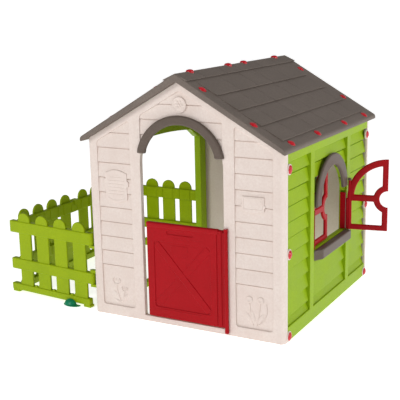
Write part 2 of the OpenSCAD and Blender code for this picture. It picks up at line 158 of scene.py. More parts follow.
def eased(corners: Sequence[Point], reach: float, steps: int = 4) -> Outline:
    """Rounds each corner of an outline.

    Args:
        corners: The outline's corners in order.
        reach: How far from a corner its curve starts.
        steps: Number of chords in a curve.

    Returns:
        The outline with its corners replaced by curves.
    """
    made: Outline = []
    for i, here in enumerate(corners):
        corner = Vector(here)
        sides = [Vector(corners[i - 1]) - corner, Vector(corners[(i + 1) % len(corners)]) - corner]
        ends = [corner + s.normalized() * min(reach, s.length * 0.45) for s in sides]
        for k in range(steps + 1):
            t = k / steps
            p = ends[0] * (1 - t) ** 2 + corner * 2 * t * (1 - t) + ends[1] * t**2
            made.append((p.x, p.y))
    return made


def arched(half: float, low: float, centre: float, middle: float = 0) -> Outline:
    """Gives a doorway's outline: straight sides under a round head."""
    head = arc(middle, centre, half, 0, 180, 48)
    return [(middle - half, low), (middle + half, low), *head]


def wound(outline: Outline, left: bool) -> Outline:
    """Turns an outline so that it runs anticlockwise, or clockwise."""
    area = sum(a[0] * b[1] - b[0] * a[1] for a, b in zip(outline, outline[1:] + outline[:1]))
    return outline if (area > 0) == left else outline[::-1]


# ---------- Shapes ----------


class Plane(Enum):
    """Plane that an outline is drawn in; the shape runs along the third axis."""

    XZ = "xz"
    YZ = "yz"
    XY = "xy"

    def matrix(self) -> Matrix:
        """Turns outline coordinates and the run into row coordinates.

        Returns:
            The matrix for this plane.
        """
        rows = {
            Plane.XZ: ((1, 0, 0), (0, 0, 1), (0, 1, 0)),
            Plane.YZ: ((0, 0, 1), (1, 0, 0), (0, 1, 0)),
            Plane.XY: ((1, 0, 0), (0, 1, 0), (0, 0, 1)),
        }
        return Matrix(rows[self]).to_4x4()


class Shape:
    """A closed mesh in the making."""

    def __init__(self) -> None:
        """Starts with nothing in it."""
        self.bm = bmesh.new()

    def outward(self) -> "Shape":
        """Makes all the faces point outwards."""
        bmesh.ops.recalc_face_normals(self.bm, faces=self.bm.faces)
        return self

    def transform(self, matrix: Matrix) -> "Shape":
        """Moves, turns or mirrors the shape."""
        bmesh.ops.transform(self.bm, matrix=matrix, verts=self.bm.verts)
        return self.outward() if matrix.determinant() < 0 else self

    def move(self, x: float, y: float, z: float) -> "Shape":
        """Moves the shape."""
        return self.transform(Matrix.Translation((x, y, z)))

    def add(self, *others: "Shape") -> "Shape":
        """Takes other shapes into this one.

        Args:
            others: Shapes that are used up.

        Returns:
            This shape.
        """
        for other in others:
            mesh = bpy.data.meshes.new("part")
            other.bm.to_mesh(mesh)
            other.bm.free()
            self.bm.from_mesh(mesh)
            bpy.data.meshes.remove(mesh)
        return self

    def soften(
        self,
        width: float,
        segments: int = 3,
        where: Callable[[bmesh.types.BMEdge], bool] | None = None,
    ) -> "Shape":
        """Rounds the sharp edges.

        Args:
            width: Reach of the rounding on either side of an edge.
            segments: Number of strips in it.
            where: Tells which sharp edges are rounded, all of them if left out.

        Returns:
            This shape.
        """
        sharp = [
            e
            for e in self.bm.edges
            if len(e.link_faces) == 2
            and e.calc_face_angle(0) > math.radians(28)
            and (where is None or where(e))
        ]
        if sharp and width > 0:
            bmesh.ops.bevel(
                self.bm, geom=sharp, offset=width, offset_type="OFFSET", affect="EDGES",
                segments=segments, profile=0.5, material=-1, clamp_overlap=True,
            )
        return self

    def cut(self, *others: "Shape") -> "Shape":
        """Takes other shapes out of this one.

        Args:
            others: Closed shapes that are used up.

        Returns:
            This shape.
        """
        for other in others:
            body, tool = as_object(self), as_object(other)
            modifier = body.modifiers.new("cut", "BOOLEAN")
            modifier.object = tool
            modifier.operation = "DIFFERENCE"
            modifier.solver = "EXACT"
            mesh = evaluated(body)
            self.bm = bmesh.new()
            self.bm.from_mesh(mesh)
            for used in (body, tool):
                bpy.data.objects.remove(used)
            bpy.data.meshes.remove(mesh)
            bmesh.ops.remove_doubles(self.bm, verts=self.bm.verts, dist=0.01)
            bmesh.ops.dissolve_limit(
                self.bm, angle_limit=math.radians(0.5), verts=self.bm.verts, edges=self.bm.edges
            )
        return self

    def trimmed(self, point: Sequence[float], outward: Sequence[float]) -> "Shape":
        """Cuts away what lies on one side of a plane and closes the cut.

        Args:
            point: A point of the plane.
            outward: The plane's normal, on the side that goes.

        Returns:
            This shape.
        """
        geometry = [*self.bm.verts, *self.bm.edges, *self.bm.faces]
        found = bmesh.ops.bisect_plane(
            self.bm, geom=geometry, dist=0.001, plane_co=point, plane_no=outward, clear_outer=True
        )
        rim = [g for g in found["geom_cut"] if isinstance(g, bmesh.types.BMEdge)]
        bmesh.ops.holes_fill(self.bm, edges=rim, sides=0)
        return self.outward()


def as_object(shape: Shape) -> bpy.types.Object:
    """Makes a passing object of a shape.

    Args:
        shape: Shape that is used up.

    Returns:
        The object, linked to the scene.
    """
    mesh = bpy.data.meshes.new("passing")
    shape.bm.to_mesh(mesh)
    shape.bm.free()
    made = bpy.data.objects.new("passing", mesh)
    bpy.context.scene.collection.objects.link(made)
    return made


def evaluated(source: bpy.types.Object) -> bpy.types.Mesh:
    """Applies an object's modifiers or curve settings.

    Args:
        source: Object that is read.

    Returns:
        A new mesh.
    """
    bpy.context.view_layer.update()
    graph = bpy.context.evaluated_depsgraph_get()
    return bpy.data.meshes.new_from_object(source.evaluated_get(graph))


def from_curve(curve: bpy.types.Curve) -> Shape:
    """Makes a shape of a curve.

    Args:
        curve: Curve that is used up.

    Returns:
        The closed shape.
    """
    holder = bpy.data.objects.new("passing", curve)
    bpy.context.scene.collection.objects.link(holder)
    mesh = evaluated(holder)
    made = Shape()
    made.bm.from_mesh(mesh)
    bpy.data.objects.remove(holder)
    bpy.data.curves.remove(curve)
    bpy.data.meshes.remove(mesh)
    bmesh.ops.remove_doubles(made.bm, verts=made.bm.verts, dist=0.01)
    return made.outward()


def prism(
    outline: Outline, plane: Plane, start: float, end: float, edge: float = 0, segments: int = 3
) -> Shape:
    """Runs an outline along its plane's third axis.

    Args:
        outline: Corners of the outline.
        plane: Plane that it is drawn in.
        start: Where the run starts.
        end: Where it ends.
        edge: Reach of the rounding on all sharp edges.
        segments: Number of strips in the rounding.

    Returns:
        The closed shape.
    """
    made = Shape()
    face = made.bm.faces.new([made.bm.verts.new((u, v, start)) for u, v in outline])
    grown = bmesh.ops.extrude_face_region(made.bm, geom=[face])["geom"]
    far = [g for g in grown if isinstance(g, bmesh.types.BMVert)]
    bmesh.ops.translate(made.bm, verts=far, vec=(0, 0, end - start))
    open_edges = [e for e in made.bm.edges if e.is_boundary]
    if open_edges:
        bmesh.ops.holes_fill(made.bm, edges=open_edges, sides=0)
    return made.transform(plane.matrix()).outward().soften(edge, segments)


def block(
    low: Sequence[float], high: Sequence[float], edge: float = 2, segments: int = 3
) -> Shape:
    """Makes a rectangular block with rounded edges.

    Args:
        low: Its lowest corner.
        high: Its highest corner.
        edge: Reach of the rounding.
        segments: Number of strips in the rounding.

    Returns:
        The closed shape.
    """
    made = Shape()
    bmesh.ops.create_cube(made.bm, size=1)
    size = [h - l for l, h in zip(low, high)]
    centre = [(h + l) / 2 for l, h in zip(low, high)]
    made.transform(Matrix.Translation(centre) @ Matrix.Diagonal((*size, 1)))
    return made.soften(edge, segments)


def plate(
    outlines: Sequence[Outline], plane: Plane, start: float, end: float, edge: float
) -> Shape:
    """Makes a flat plate with holes, rounded along all its rims.

    Args:
        outlines: The outer outline, then the holes.
        plane: Plane that they are drawn in.
        start: Where the plate's thickness starts.
        end: Where it ends.
        edge: Radius of the rounding along the rims.

    Returns:
        The closed shape.
    """
    curve = bpy.data.curves.new("outline", "CURVE")
    curve.dimensions = "2D"
    curve.fill_mode = "BOTH"
    for i, outline in enumerate(outlines):
        points = wound(outline, i == 0)
        spline = curve.splines.new("POLY")
        spline.points.add(len(points) - 1)
        for place, (u, v) in zip(spline.points, points):
            place.co = (u, v, 0, 1)
        spline.use_cyclic_u = True
    curve.extrude = (end - start) / 2 - edge
    curve.bevel_depth = edge
    curve.bevel_resolution = 2
    curve.offset = -edge
    made = from_curve(curve)
    made.move(0, 0, (start + end) / 2)
    return made.transform(plane.matrix()).outward()


def rod(points: Sequence[Sequence[float]], radius: float) -> Shape:
    """Makes a round bead along points, closed at both ends.

    Args:
        points: Points of its middle line.
        radius: Its radius.

    Returns:
        The closed shape.
    """
    curve = bpy.data.curves.new("line", "CURVE")
    curve.dimensions = "3D"
    spline = curve.splines.new("POLY")
    spline.points.add(len(points) - 1)
    for place, p in zip(spline.points, points):
        place.co = (*p, 1)
    curve.bevel_depth = radius
    curve.bevel_resolution = 2
    curve.use_fill_caps = True
    return from_curve(curve)


def lathe(profile: Sequence[Point], steps: int = 24) -> Shape:
    """Spins a profile of radius and height about the Z axis.

    Args:
        profile: Points from the top's middle to the bottom's middle.
        steps: Number of facets round.

    Returns:
        The closed shape.
    """
    made = Shape()
    line = [made.bm.verts.new((r, 0, z)) for r, z in profile]
    edges = [made.bm.edges.new(pair) for pair in zip(line, line[1:])]
    bmesh.ops.spin(
        made.bm, geom=[*line, *edges], cent=(0, 0, 0), axis=(0, 0, 1), dvec=(0, 0, 0),
        angle=math.tau, steps=steps, use_merge=True, use_duplicate=False,
    )
    bmesh.ops.remove_doubles(made.bm, verts=made.bm.verts, dist=0.01)
    return made.outward()


def facing(axis: Sequence[float], place: Sequence[float]) -> Matrix:
    """Puts a shape's Z along an axis and its origin at a place."""
    turn = Vector(axis).to_track_quat("Z", "Y").to_matrix().to_4x4()
    return Matrix.Translation(place) @ turn


def hung(joint: str, turn: float) -> Matrix:
    """Turns a shape about Z by degrees and puts it at a hinge's place in plan."""
    axis = pivot(joint)
    return Matrix.Translation((axis.x, axis.y, 0)) @ Matrix.Rotation(math.radians(turn), 4, "Z")


# ---------- Finishes ----------


def linear(colour: str, alpha: float = 1) -> tuple[float, float, float, float]:
    """Turns an sRGB colour to a linear one.

    Args:
        colour: The colour in hex, with a leading hash.
        alpha: Its opacity.

    Returns:
        Red, green, blue and alpha.
    """
    parts = [int(colour[i : i + 2], 16) / 255 for i in (1, 3, 5)]
    flat = [c / 12.92 if c <= 0.04045 else ((c + 0.055) / 1.055) ** 2.4 for c in parts]
    return (flat[0], flat[1], flat[2], alpha)


def node(
    tree: bpy.types.NodeTree,
    kind: str,
    inputs: dict[str, object] | None = None,
    **settings: object,
) -> bpy.types.Node:
    """Adds a node with its settings and links.

    Args:
        tree: Tree that the node goes into.
        kind: Blender's name for the node's type.
        inputs: Value, or output socket to link, of each named input.
        settings: The node's own properties.

    Returns:
        The node.
    """
    made = tree.nodes.new(kind)
    for name, value in settings.items():
        setattr(made, name, value)
    for name, value in (inputs or {}).items():
        socket = made.inputs[int(name)] if name.isdigit() else made.inputs[name]
        if isinstance(value, bpy.types.NodeSocket):
            tree.links.new(value, socket)
        else:
            socket.default_value = value
    return made


@dataclass(frozen=True)
class MouldedPlastic:
    """Coloured polyethylene or polypropylene from a steel mould.

    The mould's spark-eroded skin gives a fine grain that breaks up the gloss, the pigment
    is a little uneven, and handling leaves slightly shinier patches.
    """

    name: str
    slot: str
    colour: str
    pale: str
    roughness: float
    grain_mm: float
    grain_depth_mm: float
    coat: float = 0
    gloss: float = 0.3

    def material(self) -> bpy.types.Material:
        """Builds the material the first time that it is asked for.

        Returns:
            The material.
        """
        if self.name in bpy.data.materials:
            return bpy.data.materials[self.name]
        made = bpy.data.materials.new(self.name)
        made.use_nodes = True
        tree = made.node_tree
        tree.nodes.clear()
        place = node(tree, "ShaderNodeTexCoord").outputs["Object"]
        cloud = node(
            tree, "ShaderNodeTexNoise",
            {"Vector": place, "Scale": 1 / (140 * MM), "Detail": 3.0, "Roughness": 0.55},
        ).outputs["Fac"]
        speck = node(
            tree, "ShaderNodeTexNoise",
            {"Vector": place, "Scale": 1 / (9 * MM), "Detail": 2.0, "Roughness": 0.6},
        ).outputs["Fac"]
        grain = node(
            tree, "ShaderNodeTexNoise",
            {"Vector": place, "Scale": 1 / (self.grain_mm * MM), "Detail": 2.0},
        ).outputs["Fac"]
        spread = node(tree, "ShaderNodeMath", {"0": cloud, "1": speck}, operation="MULTIPLY")
        share = node(
            tree, "ShaderNodeMapRange",
            {"Value": spread.outputs[0], "From Min": 0.12, "From Max": 0.4,
             "To Min": 0.0, "To Max": 1.0},
        )
        tint = node(
            tree, "ShaderNodeMix",
            {"0": share.outputs["Result"], "6": linear(self.colour), "7": linear(self.pale)},
            data_type="RGBA",
        )
        gloss = node(
            tree, "ShaderNodeMapRange",
            {"Value": cloud, "From Min": 0.3, "From Max": 0.7,
             "To Min": self.roughness - 0.06, "To Max": self.roughness + 0.07},
        )
        bump = node(
            tree, "ShaderNodeBump",
            {"Height": grain, "Strength": 0.2, "Distance": self.grain_depth_mm * MM},
        )
        shader = node(
            tree, "ShaderNodeBsdfPrincipled",
            {"Base Color": tint.outputs[2], "Roughness": gloss.outputs["Result"],
             "Normal": bump.outputs["Normal"], "Specular IOR Level": self.gloss,
             "Coat Weight": self.coat, "Coat Roughness": 0.12},
        )
        node(tree, "ShaderNodeOutputMaterial", {"Surface": shader.outputs["BSDF"]})
        return made


@dataclass(frozen=True)
class ZincPlating:
    """Bright zinc on drawn steel: a pale grey metal with fine lines from the drawing."""

    name: str = "zinc_plated_steel"
    slot: str = "zinc_steel"
    colour: str = "#C4C6C9"

    def material(self) -> bpy.types.Material:
        """Builds the material the first time that it is asked for.

        Returns:
            The material.
        """
        if self.name in bpy.data.materials:
            return bpy.data.materials[self.name]
        made = bpy.data.materials.new(self.name)
        made.use_nodes = True
        tree = made.node_tree
        tree.nodes.clear()
        place = node(tree, "ShaderNodeTexCoord").outputs["Object"]
        # Drawing lines are 0.1 mm apart, and are drawn 1 mm apart so that they show.
        lines = node(
            tree, "ShaderNodeTexNoise", {"Vector": place, "Scale": 1 / MM, "Detail": 2.0}
        ).outputs["Fac"]
        gloss = node(
            tree, "ShaderNodeMapRange", {"Value": lines, "To Min": 0.25, "To Max": 0.45}
        )
        bump = node(
            tree, "ShaderNodeBump", {"Height": lines, "Strength": 0.2, "Distance": 0.05 * MM}
        )
        shader = node(
            tree, "ShaderNodeBsdfPrincipled",
            {"Base Color": linear(self.colour), "Metallic": 1.0,
             "Roughness": gloss.outputs["Result"], "Normal": bump.outputs["Normal"]},
        )
        node(tree, "ShaderNodeOutputMaterial", {"Surface": shader.outputs["BSDF"]})
        return made


Finish = MouldedPlastic | ZincPlating

# Satin blow-moulded polyethylene: a soft broad sheen and a barely visible grain.
CREAM = MouldedPlastic(
    "cream_blow_moulded_polyethylene", "cream_plastic", "#DCCCC3", "#E4D7CF",
    roughness=0.5, grain_mm=2.4, grain_depth_mm=0.08,
)
GREEN = MouldedPlastic(
    "lime_blow_moulded_polyethylene", "green_plastic", "#8CAA0E", "#97B516",
    roughness=0.42, grain_mm=2.4, grain_depth_mm=0.08, gloss=0.14,
)
FENCE = MouldedPlastic(
    "leaf_blow_moulded_polyethylene", "fence_plastic", "#8EA600", "#99AF04",
    roughness=0.4, grain_mm=2.4, grain_depth_mm=0.09, gloss=0.14,
)
# Matt polyethylene from a coarser mould, which makes the roof look dry.
ROOF = MouldedPlastic(
    "umber_blow_moulded_polyethylene", "roof_plastic", "#6A5F57", "#766B63",
    roughness=0.58, grain_mm=3.4, grain_depth_mm=0.22,
)
# Satin polypropylene trims: a little smoother than the roof.
TRIM = MouldedPlastic(
    "taupe_injection_moulded_polypropylene", "hood_plastic", "#5D5149", "#675B53",
    roughness=0.38, grain_mm=2.6, grain_depth_mm=0.1, gloss=0.16,
)
# Semi-gloss polypropylene: clear highlights along the rounded edges.
RED = MouldedPlastic(
    "red_injection_moulded_polypropylene", "red_plastic", "#A0000C", "#AA0212",
    roughness=0.34, grain_mm=2.8, grain_depth_mm=0.05, gloss=0.14,
)
# Glossy polypropylene from a polished mould: a small bright highlight on each cap.
CAP = MouldedPlastic(
    "cherry_injection_moulded_polypropylene", "cap_plastic", "#BC0216", "#C60A20",
    roughness=0.2, grain_mm=3.0, grain_depth_mm=0.04, coat=0.3,
)
# Semi-gloss polyethylene: one soft highlight on the foot's dome.
TEAL = MouldedPlastic(
    "teal_injection_moulded_polyethylene", "teal_plastic", "#007A55", "#06865F",
    roughness=0.32, grain_mm=2.8, grain_depth_mm=0.06,
)
# Electroplated zinc: a bright pale metal on the pins and screws.
ZINC = ZincPlating()


class Body(Enum):
    """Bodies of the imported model."""

    HOUSE = "house"
    DOOR = "half_door"
    FRONT_LEAF = "front_leaf"
    BACK_LEAF = "back_leaf"
    GATE = "gate"


def place(
    shape: Shape, name: str, finish: Finish, body: Body, nodes: Iterable[str]
) -> bpy.types.Object:
    """Makes the finished piece of a shape.

    Args:
        shape: Shape in millimetres, which is used up.
        name: Name of the piece.
        finish: Its finish.
        body: Body that it moves with.
        nodes: CAD nodes that it stands for.

    Returns:
        The piece.
    """
    bmesh.ops.scale(shape.bm, vec=(MM, MM, MM), verts=shape.bm.verts)
    mesh = bpy.data.meshes.new(name)
    shape.bm.to_mesh(mesh)
    shape.bm.free()
    mesh.polygons.foreach_set("use_smooth", [True] * len(mesh.polygons))
    mesh.set_sharp_from_angle(angle=math.radians(40))
    mesh.materials.append(finish.material())
    piece = bpy.data.objects.new(name, mesh)
    bpy.context.scene.collection.objects.link(piece)
    weights = piece.modifiers.new("flat_faces", "WEIGHTED_NORMAL")
    weights.keep_sharp = True
    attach(piece, body.value)
    nodes = list(nodes)
    if nodes:
        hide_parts(*nodes)
    LOG.info("%s: %d faces on %s", name, len(mesh.polygons), body.value)
    return piece


def dress(finish: Finish, *nodes: str) -> None:
    """Gives CAD nodes that stay in view their finish.

    Args:
        finish: The finish.
        nodes: Names of the nodes.
    """
    for name in nodes:
        materials = frame["nodes"][name].data.materials
        materials.clear()
        materials.append(finish.material())


def rounded_copy(name: str, finish: Finish, body: Body, edge: float) -> None:
    """Puts a copy of a small CAD node with eased edges in the node's place.

    Args:
        name: The CAD node.
        finish: Finish of the copy.
        body: Body that it moves with.
        edge: Reach of the rounding.
    """
    made = Shape()
    made.bm.from_mesh(frame["nodes"][name].data)
    made.transform(Matrix.Scale(1 / MM, 4))
    bmesh.ops.remove_doubles(made.bm, verts=made.bm.verts, dist=0.01)
    bmesh.ops.dissolve_limit(
        made.bm, angle_limit=math.radians(1), verts=made.bm.verts, edges=made.bm.edges
    )
    place(made.outward().soften(edge, 2), f"{name}_eased", finish, body, [name])


# ---------- Gable walls ----------


@dataclass
class GableWall:
    """Cream gable wall: a framed plate with clapboard fields, wrapped round the corners."""

    house: House
    doorway: bool
    half_door: float = 212
    arch_centre: float = 757
    sill: float = 27
    thick: float = 24
    corner: float = 25
    wrap: float = 38
    field_x: Point = (266, 446)
    field_low: float = 50
    field_gap: float = 34
    gable_half: float = 208
    gable_low: float = 804
    gable_gap: float = 42
    bays: tuple[Point, ...] = ((-450, -262), (-212, 212), (262, 450))
    flange: float = 12
    skin: float = 14.5
    near: float = 3.6
    far: float = 8
    groove: Point = (5.2, 12)

    def fields(self) -> list[Outline]:
        """Outlines of the recessed fields, their corners rounded.

        Returns:
            Outlines in x and z.
        """
        h = self.house
        a, b = self.field_x
        tops = [h.under_roof(u) - self.field_gap for u in (a, b)]
        side = [(a, self.field_low), (b, self.field_low), (b, tops[1]), (a, tops[0])]
        fields = [eased(side, 16), eased([(-u, v) for u, v in side], 16)]
        if self.doorway:
            return [*fields, self.open_gable()]
        w, low, top = self.gable_half, self.field_low, h.apex - self.gable_gap
        inner = h.under_roof(w) - self.gable_gap
        return [*fields, eased([(-w, low), (w, low), (w, inner), (0, top), (-w, inner)], 14)]

    def hole(self) -> Outline:
        """Outline of the doorway."""
        return arched(self.half_door, self.sill, self.arch_centre)

    def gable(self, half: float) -> Outline:
        """Outline of the whole wall under the roof, out to a distance on either side."""
        shoulder = self.house.under_roof(half)
        return [(-half, 0), (half, 0), (half, shoulder), (0, self.house.apex), (-half, shoulder)]

    def boards(self) -> Shape:
        """Clapboards: each stands proud along its lower edge.

        Returns:
            The boards.
        """
        h = self.house
        face = h.front
        line: Outline = [(face + self.far, self.field_low - 20), (face + self.far, h.board_first)]
        low = h.board_first
        high, deep = self.groove
        while low < h.apex - 60:
            line[-1] = (line[-1][0], low - high)
            line += [(face + deep, low - high), (face + deep, low), (face + self.near, low),
                     (face + self.far, low + h.board_pitch)]
            low += h.board_pitch
        line += [(face + 16, low), (face + 16, self.field_low - 20)]
        made = Shape()
        for start, end in self.bays:
            strip = prism(line, Plane.YZ, start, end)
            for side in (1, -1):
                strip.trimmed((0, 0, h.apex - 20), (h.rake * side, 0, 1))
            if self.doorway and start == -self.half_door:
                way = arched(self.half_door + 3, 0, self.arch_centre)
                strip.cut(prism(way, Plane.XZ, face - 5, face + 20))
            made.add(strip)
        return made

    def corners(self) -> Shape:
        """Rounded corner posts and the lugs under the fasteners' caps.

        Returns:
            Posts and lugs of both sides.
        """
        h = self.house
        y0, y1 = h.front - 0.15, h.front + self.wrap
        x0, x1 = h.half - self.corner - 8, h.half
        nose = arc(x1 - self.corner, y0 + self.corner, self.corner, -90, 0, 10)
        plan = [(x0, y0), *nose, (x1, y1), (x1 - self.flange, y1),
                (x1 - self.flange, y0 + self.thick), (x0, y0 + self.thick)]
        made = prism(plan, Plane.XY, 0, h.eave + 30)
        made.trimmed((x1, 0, h.under_roof(x1)), (h.rake, 0, 1))
        made.soften(1.5, 2, lambda e: all(abs(v.co.y - y1) < 0.1 for v in e.verts))
        for z in h.cap_heights:
            lug = lathe([(0, 4), (21.5, 4), (23.4, 3.3), (24, 1.8), (24, -3), (0, -3)], 40)
            made.add(lug.transform(facing((1, 0, 0), (x1, h.front + h.cap_inset, z))))
        twin = Shape()
        twin.bm = made.bm.copy()
        twin.transform(Matrix.Scale(-1, 4, (1, 0, 0)))
        return made.add(twin)

    def shape(self) -> Shape:
        """The whole wall, built as a front wall.

        Returns:
            The wall.
        """
        h = self.house
        rim = h.half - self.corner + 4
        face = [self.gable(rim), *self.fields()]
        made = plate(face, Plane.XZ, h.front, h.front + self.skin, 2.4)
        back = [self.gable(rim), self.hole()] if self.doorway else [self.gable(rim)]
        made.add(plate(back, Plane.XZ, h.front + self.skin - 1.5, h.front + self.thick, 1.5))
        return made.add(self.boards(), self.corners())

    def open_gable(self) -> Outline:
        """Doorway and gable field as one hole: the doorway's head opens into the field.

        Returns:
            The outline in x and z.
        """
        h = self.house
        w, low, top = self.gable_half, self.gable_low, h.apex - self.gable_gap
        inner = h.under_roof(w) - self.gable_gap
        knee = math.degrees(math.asin((low - self.arch_centre) / self.half_door))
        right = arc(0, self.arch_centre, self.half_door, 0, knee, 6)
        left = arc(0, self.arch_centre, self.half_door, 180 - knee, 180, 6)
        head = eased([(w, low), (w, inner), (0, top), (-w, inner), (-w, low)], 14)[5:-5]
        return [(-self.half_door, self.sill), (self.half_door, self.sill), *right, *head, *left]

    def build(self) -> None:
        """Makes the wall and places it."""
        made = self.shape()
        if self.doorway:
            made.add(*Reliefs(self.house).shapes())
            place(made, "front_wall_panel", CREAM, Body.HOUSE, ["front_wall"])
            return
        to_back = Matrix.Translation((0, 2 * self.house.middle, 0))
        made.transform(to_back @ Matrix.Scale(-1, 4, (0, 1, 0)))
        place(made, "back_wall_panel", CREAM, Body.HOUSE, ["back_wall"])


@dataclass
class Reliefs:
    """Moulded pictures on the front wall: medallion, plaque, letter box and flowers."""

    house: House
    plaque: tuple[float, ...] = (-414, 560, -281, 715)
    box: tuple[float, ...] = (294, 578, 411, 650)

    def bead(self, points: Sequence[Point], depth: float, radius: float = 1.6) -> Shape:
        """A half-sunk bead along points of the wall, at a depth under its face."""
        y = self.house.front + depth
        return rod([(u, y, v) for u, v in points], radius)

    def panel(self, outline: Outline, start: float, end: float, edge: float) -> Shape:
        """A raised plate on the wall, between two depths under its face."""
        return plate([outline], Plane.XZ, self.house.front + start, self.house.front + end, edge)

    def medallion(self) -> Shape:
        """Round boss in the gable with a rim and a plain rosette.

        Returns:
            The medallion on the wall.
        """
        rim = [(26, 4.6), (28.5, 5.4), (31, 7.4), (34, 7.4), (36, 5.6), (36, -4)]
        disc = lathe([(0, 4.6), *rim, (0, -4)], 48)
        for k in range(6):
            turn = Matrix.Rotation(math.tau * k / 6, 4, "Z")
            petal = lathe([(0, 2.4), (3, 2.0), (5.6, 0.9), (6.6, -1), (0, -1)], 16)
            spot = turn @ Matrix.Translation((13, 0, 4.6))
            petal.transform(spot @ Matrix.Diagonal((1.3, 1, 1, 1)))
            disc.add(petal)
        disc.add(lathe([(0, 8), (3, 7.6), (5.5, 6.2), (6.4, 4), (0, 4)], 16))
        return disc.transform(facing((0, -1, 0), (0, self.house.front + 5.6, 1030)))

    def sign(self) -> Shape:
        """Plaque with a bowed top and bottom and plain lines.

        Returns:
            The plaque on the wall.
        """
        a, low, b, high = self.plaque
        mid, bow, reach = (a + b) / 2, 14, (b - a - 30) / 2
        left, right = a + 8, b - 8
        shares = (-0.9, -0.6, -0.3, 0, 0.3, 0.6, 0.9)
        foot = [(mid + reach * t, low + bow * t * t) for t in shares]
        head = [(mid + reach * t, high - bow * t * t) for t in shares[::-1]]
        line = [
            (left, low + bow), *foot, (right, low + bow), (right, low + 78), (b, low + 78),
            (b, high - 52), (right, high - 52), (right, high - bow), *head, (left, high - bow),
            (left, high - 44), (a, high - 44), (a, low + 70), (left, low + 70),
        ]
        made = self.panel(eased(line, 4, 3), 1, 9, 1.6)
        for k in range(6):
            v = high - 36 - 16 * k
            reach = 42 if k else 30
            made.add(self.bead([(mid - reach, v), (mid + reach, v)], 1.6, 1.7))
        bowed = [(mid + 46 * t, low + 11 + 12 * t * t) for t in [i / 6 for i in range(-6, 7)]]
        return made.add(self.bead(bowed, 1.6, 1.7))

    def letter_box(self) -> Shape:
        """Letter box with a bowed foot, a flap's edge and a plain lock.

        Returns:
            The letter box on the wall.
        """
        a, low, b, high = self.box
        mid, reach, ear, brow = (a + b) / 2, (b - a - 12) / 2, low + 26, high - 34
        left, right = a + 6, b - 6
        shares = [i / 5 for i in range(-5, 6)]
        foot = [(mid + reach * t, low + 9 * t * t) for t in shares]
        outline = [
            *foot, (right, ear), (b, ear), (b, brow), (right, brow), (right, high),
            (left, high), (left, brow), (a, brow), (a, ear), (left, ear),
        ]
        made = self.panel(eased(outline, 3, 3), 0.8, 9, 1.4)
        flap = eased(rectangle(a + 14, low + 16, b - 14, high - 7), 5)
        made.add(self.bead([*flap, flap[0]], 1.0, 1.5))
        lock = lathe([(0, 2.2), (2.2, 2.0), (3.4, 1.2), (3.8, -1), (0, -1)], 18)
        lock.transform(facing((0, -1, 0), (b - 22, self.house.front + 1.2, high - 20)))
        return made.add(lock)

    def bloom(self, u: float, v: float, size: float, cupped: bool) -> Shape:
        """Flower head: a cup open above, or a round head with a sunk middle.

        Args:
            u: The x of its middle.
            v: Height of its middle.
            size: Its radius.
            cupped: Whether it is a cup.

        Returns:
            The head on the wall.
        """
        depth = 7.6
        if cupped:
            made = self.bead(arc(u, v, size, 170, 370, 14), depth, 3.2)
            for k in (-0.5, 0, 0.5):
                line = [(u + size * k, v - size * 0.3), (u + size * k * 1.5, v + size * 0.5)]
                made.add(self.bead(line, depth, 1.7))
            return made
        rim = [(size * 0.4, 1.4), (size * 0.6, 3.2), (size * 0.85, 3.2), (size, 1.4), (size, -2)]
        ring = lathe([(0, 1.2), *rim, (0, -2)], 26)
        return ring.transform(facing((0, -1, 0), (u, self.house.front + depth, v)))

    def stem(self, points: Sequence[Point]) -> Shape:
        """Stem, drawn through points as a smooth line.

        Args:
            points: Points of the wall in x and z.

        Returns:
            The stem on the wall.
        """
        made: Outline = []
        for i in range(len(points) - 1):
            p = [Vector(points[max(0, min(len(points) - 1, k))]) for k in (i - 1, i, i + 1, i + 2)]
            for k in range(5):
                t = k / 5
                bend = 2 * p[0] - 5 * p[1] + 4 * p[2] - p[3]
                twist = 3 * p[1] - p[0] - 3 * p[2] + p[3]
                q = 0.5 * (2 * p[1] + (p[2] - p[0]) * t + bend * t**2 + twist * t**3)
                made.append((q.x, q.y))
        made.append(tuple(points[-1]))
        return self.bead(made, 7.4, 2.6)

    def leaf(self, u: float, v: float, length: float, lean: float) -> Shape:
        """Pointed leaf.

        Args:
            u: The x of its foot.
            v: Height of its foot.
            length: Its length.
            lean: How far it leans to the right, in degrees.

        Returns:
            The leaf on the wall.
        """
        wide, steps = 0.15 * length, 12
        bulge = [math.sin(math.pi * k / steps) ** 0.8 for k in range(1, steps)]
        half = [(wide * share, length * (1 - k / steps)) for k, share in enumerate([0, *bulge, 0])]
        made = lathe(half, 24).transform(Matrix.Diagonal((1, 3 / wide, 1, 1)))
        made.transform(Matrix.Rotation(math.radians(-lean), 4, "Y"))
        return made.move(u, self.house.front + 8, v)

    def shapes(self) -> list[Shape]:
        """All the reliefs.

        Returns:
            The shapes, in front of the wall.
        """
        made = [self.medallion(), self.sign(), self.letter_box()]
        made += [self.bloom(-372, 176, 21, True), self.bloom(-328, 140, 16, True)]
        made += [
            self.stem([(-372, 152), (-368, 116), (-352, 72)]),
            self.stem([(-328, 122), (-334, 96), (-340, 72)]),
            self.leaf(-352, 74, 62, 38), self.leaf(-340, 72, 52, -34), self.leaf(-350, 66, 40, 72),
        ]
        made += [self.bloom(330, 184, 16, False), self.bloom(384, 186, 16, False)]
        return made + [
            self.stem([(330, 168), (336, 120), (348, 66)]),
            self.stem([(384, 170), (376, 120), (366, 66)]),
            self.leaf(346, 70, 66, 34), self.leaf(368, 70, 66, -30), self.leaf(352, 66, 74, 10),
            self.stem([(412, 172), (414, 130), (398, 92), (366, 62)]),
        ]


# ---------- Side walls ----------


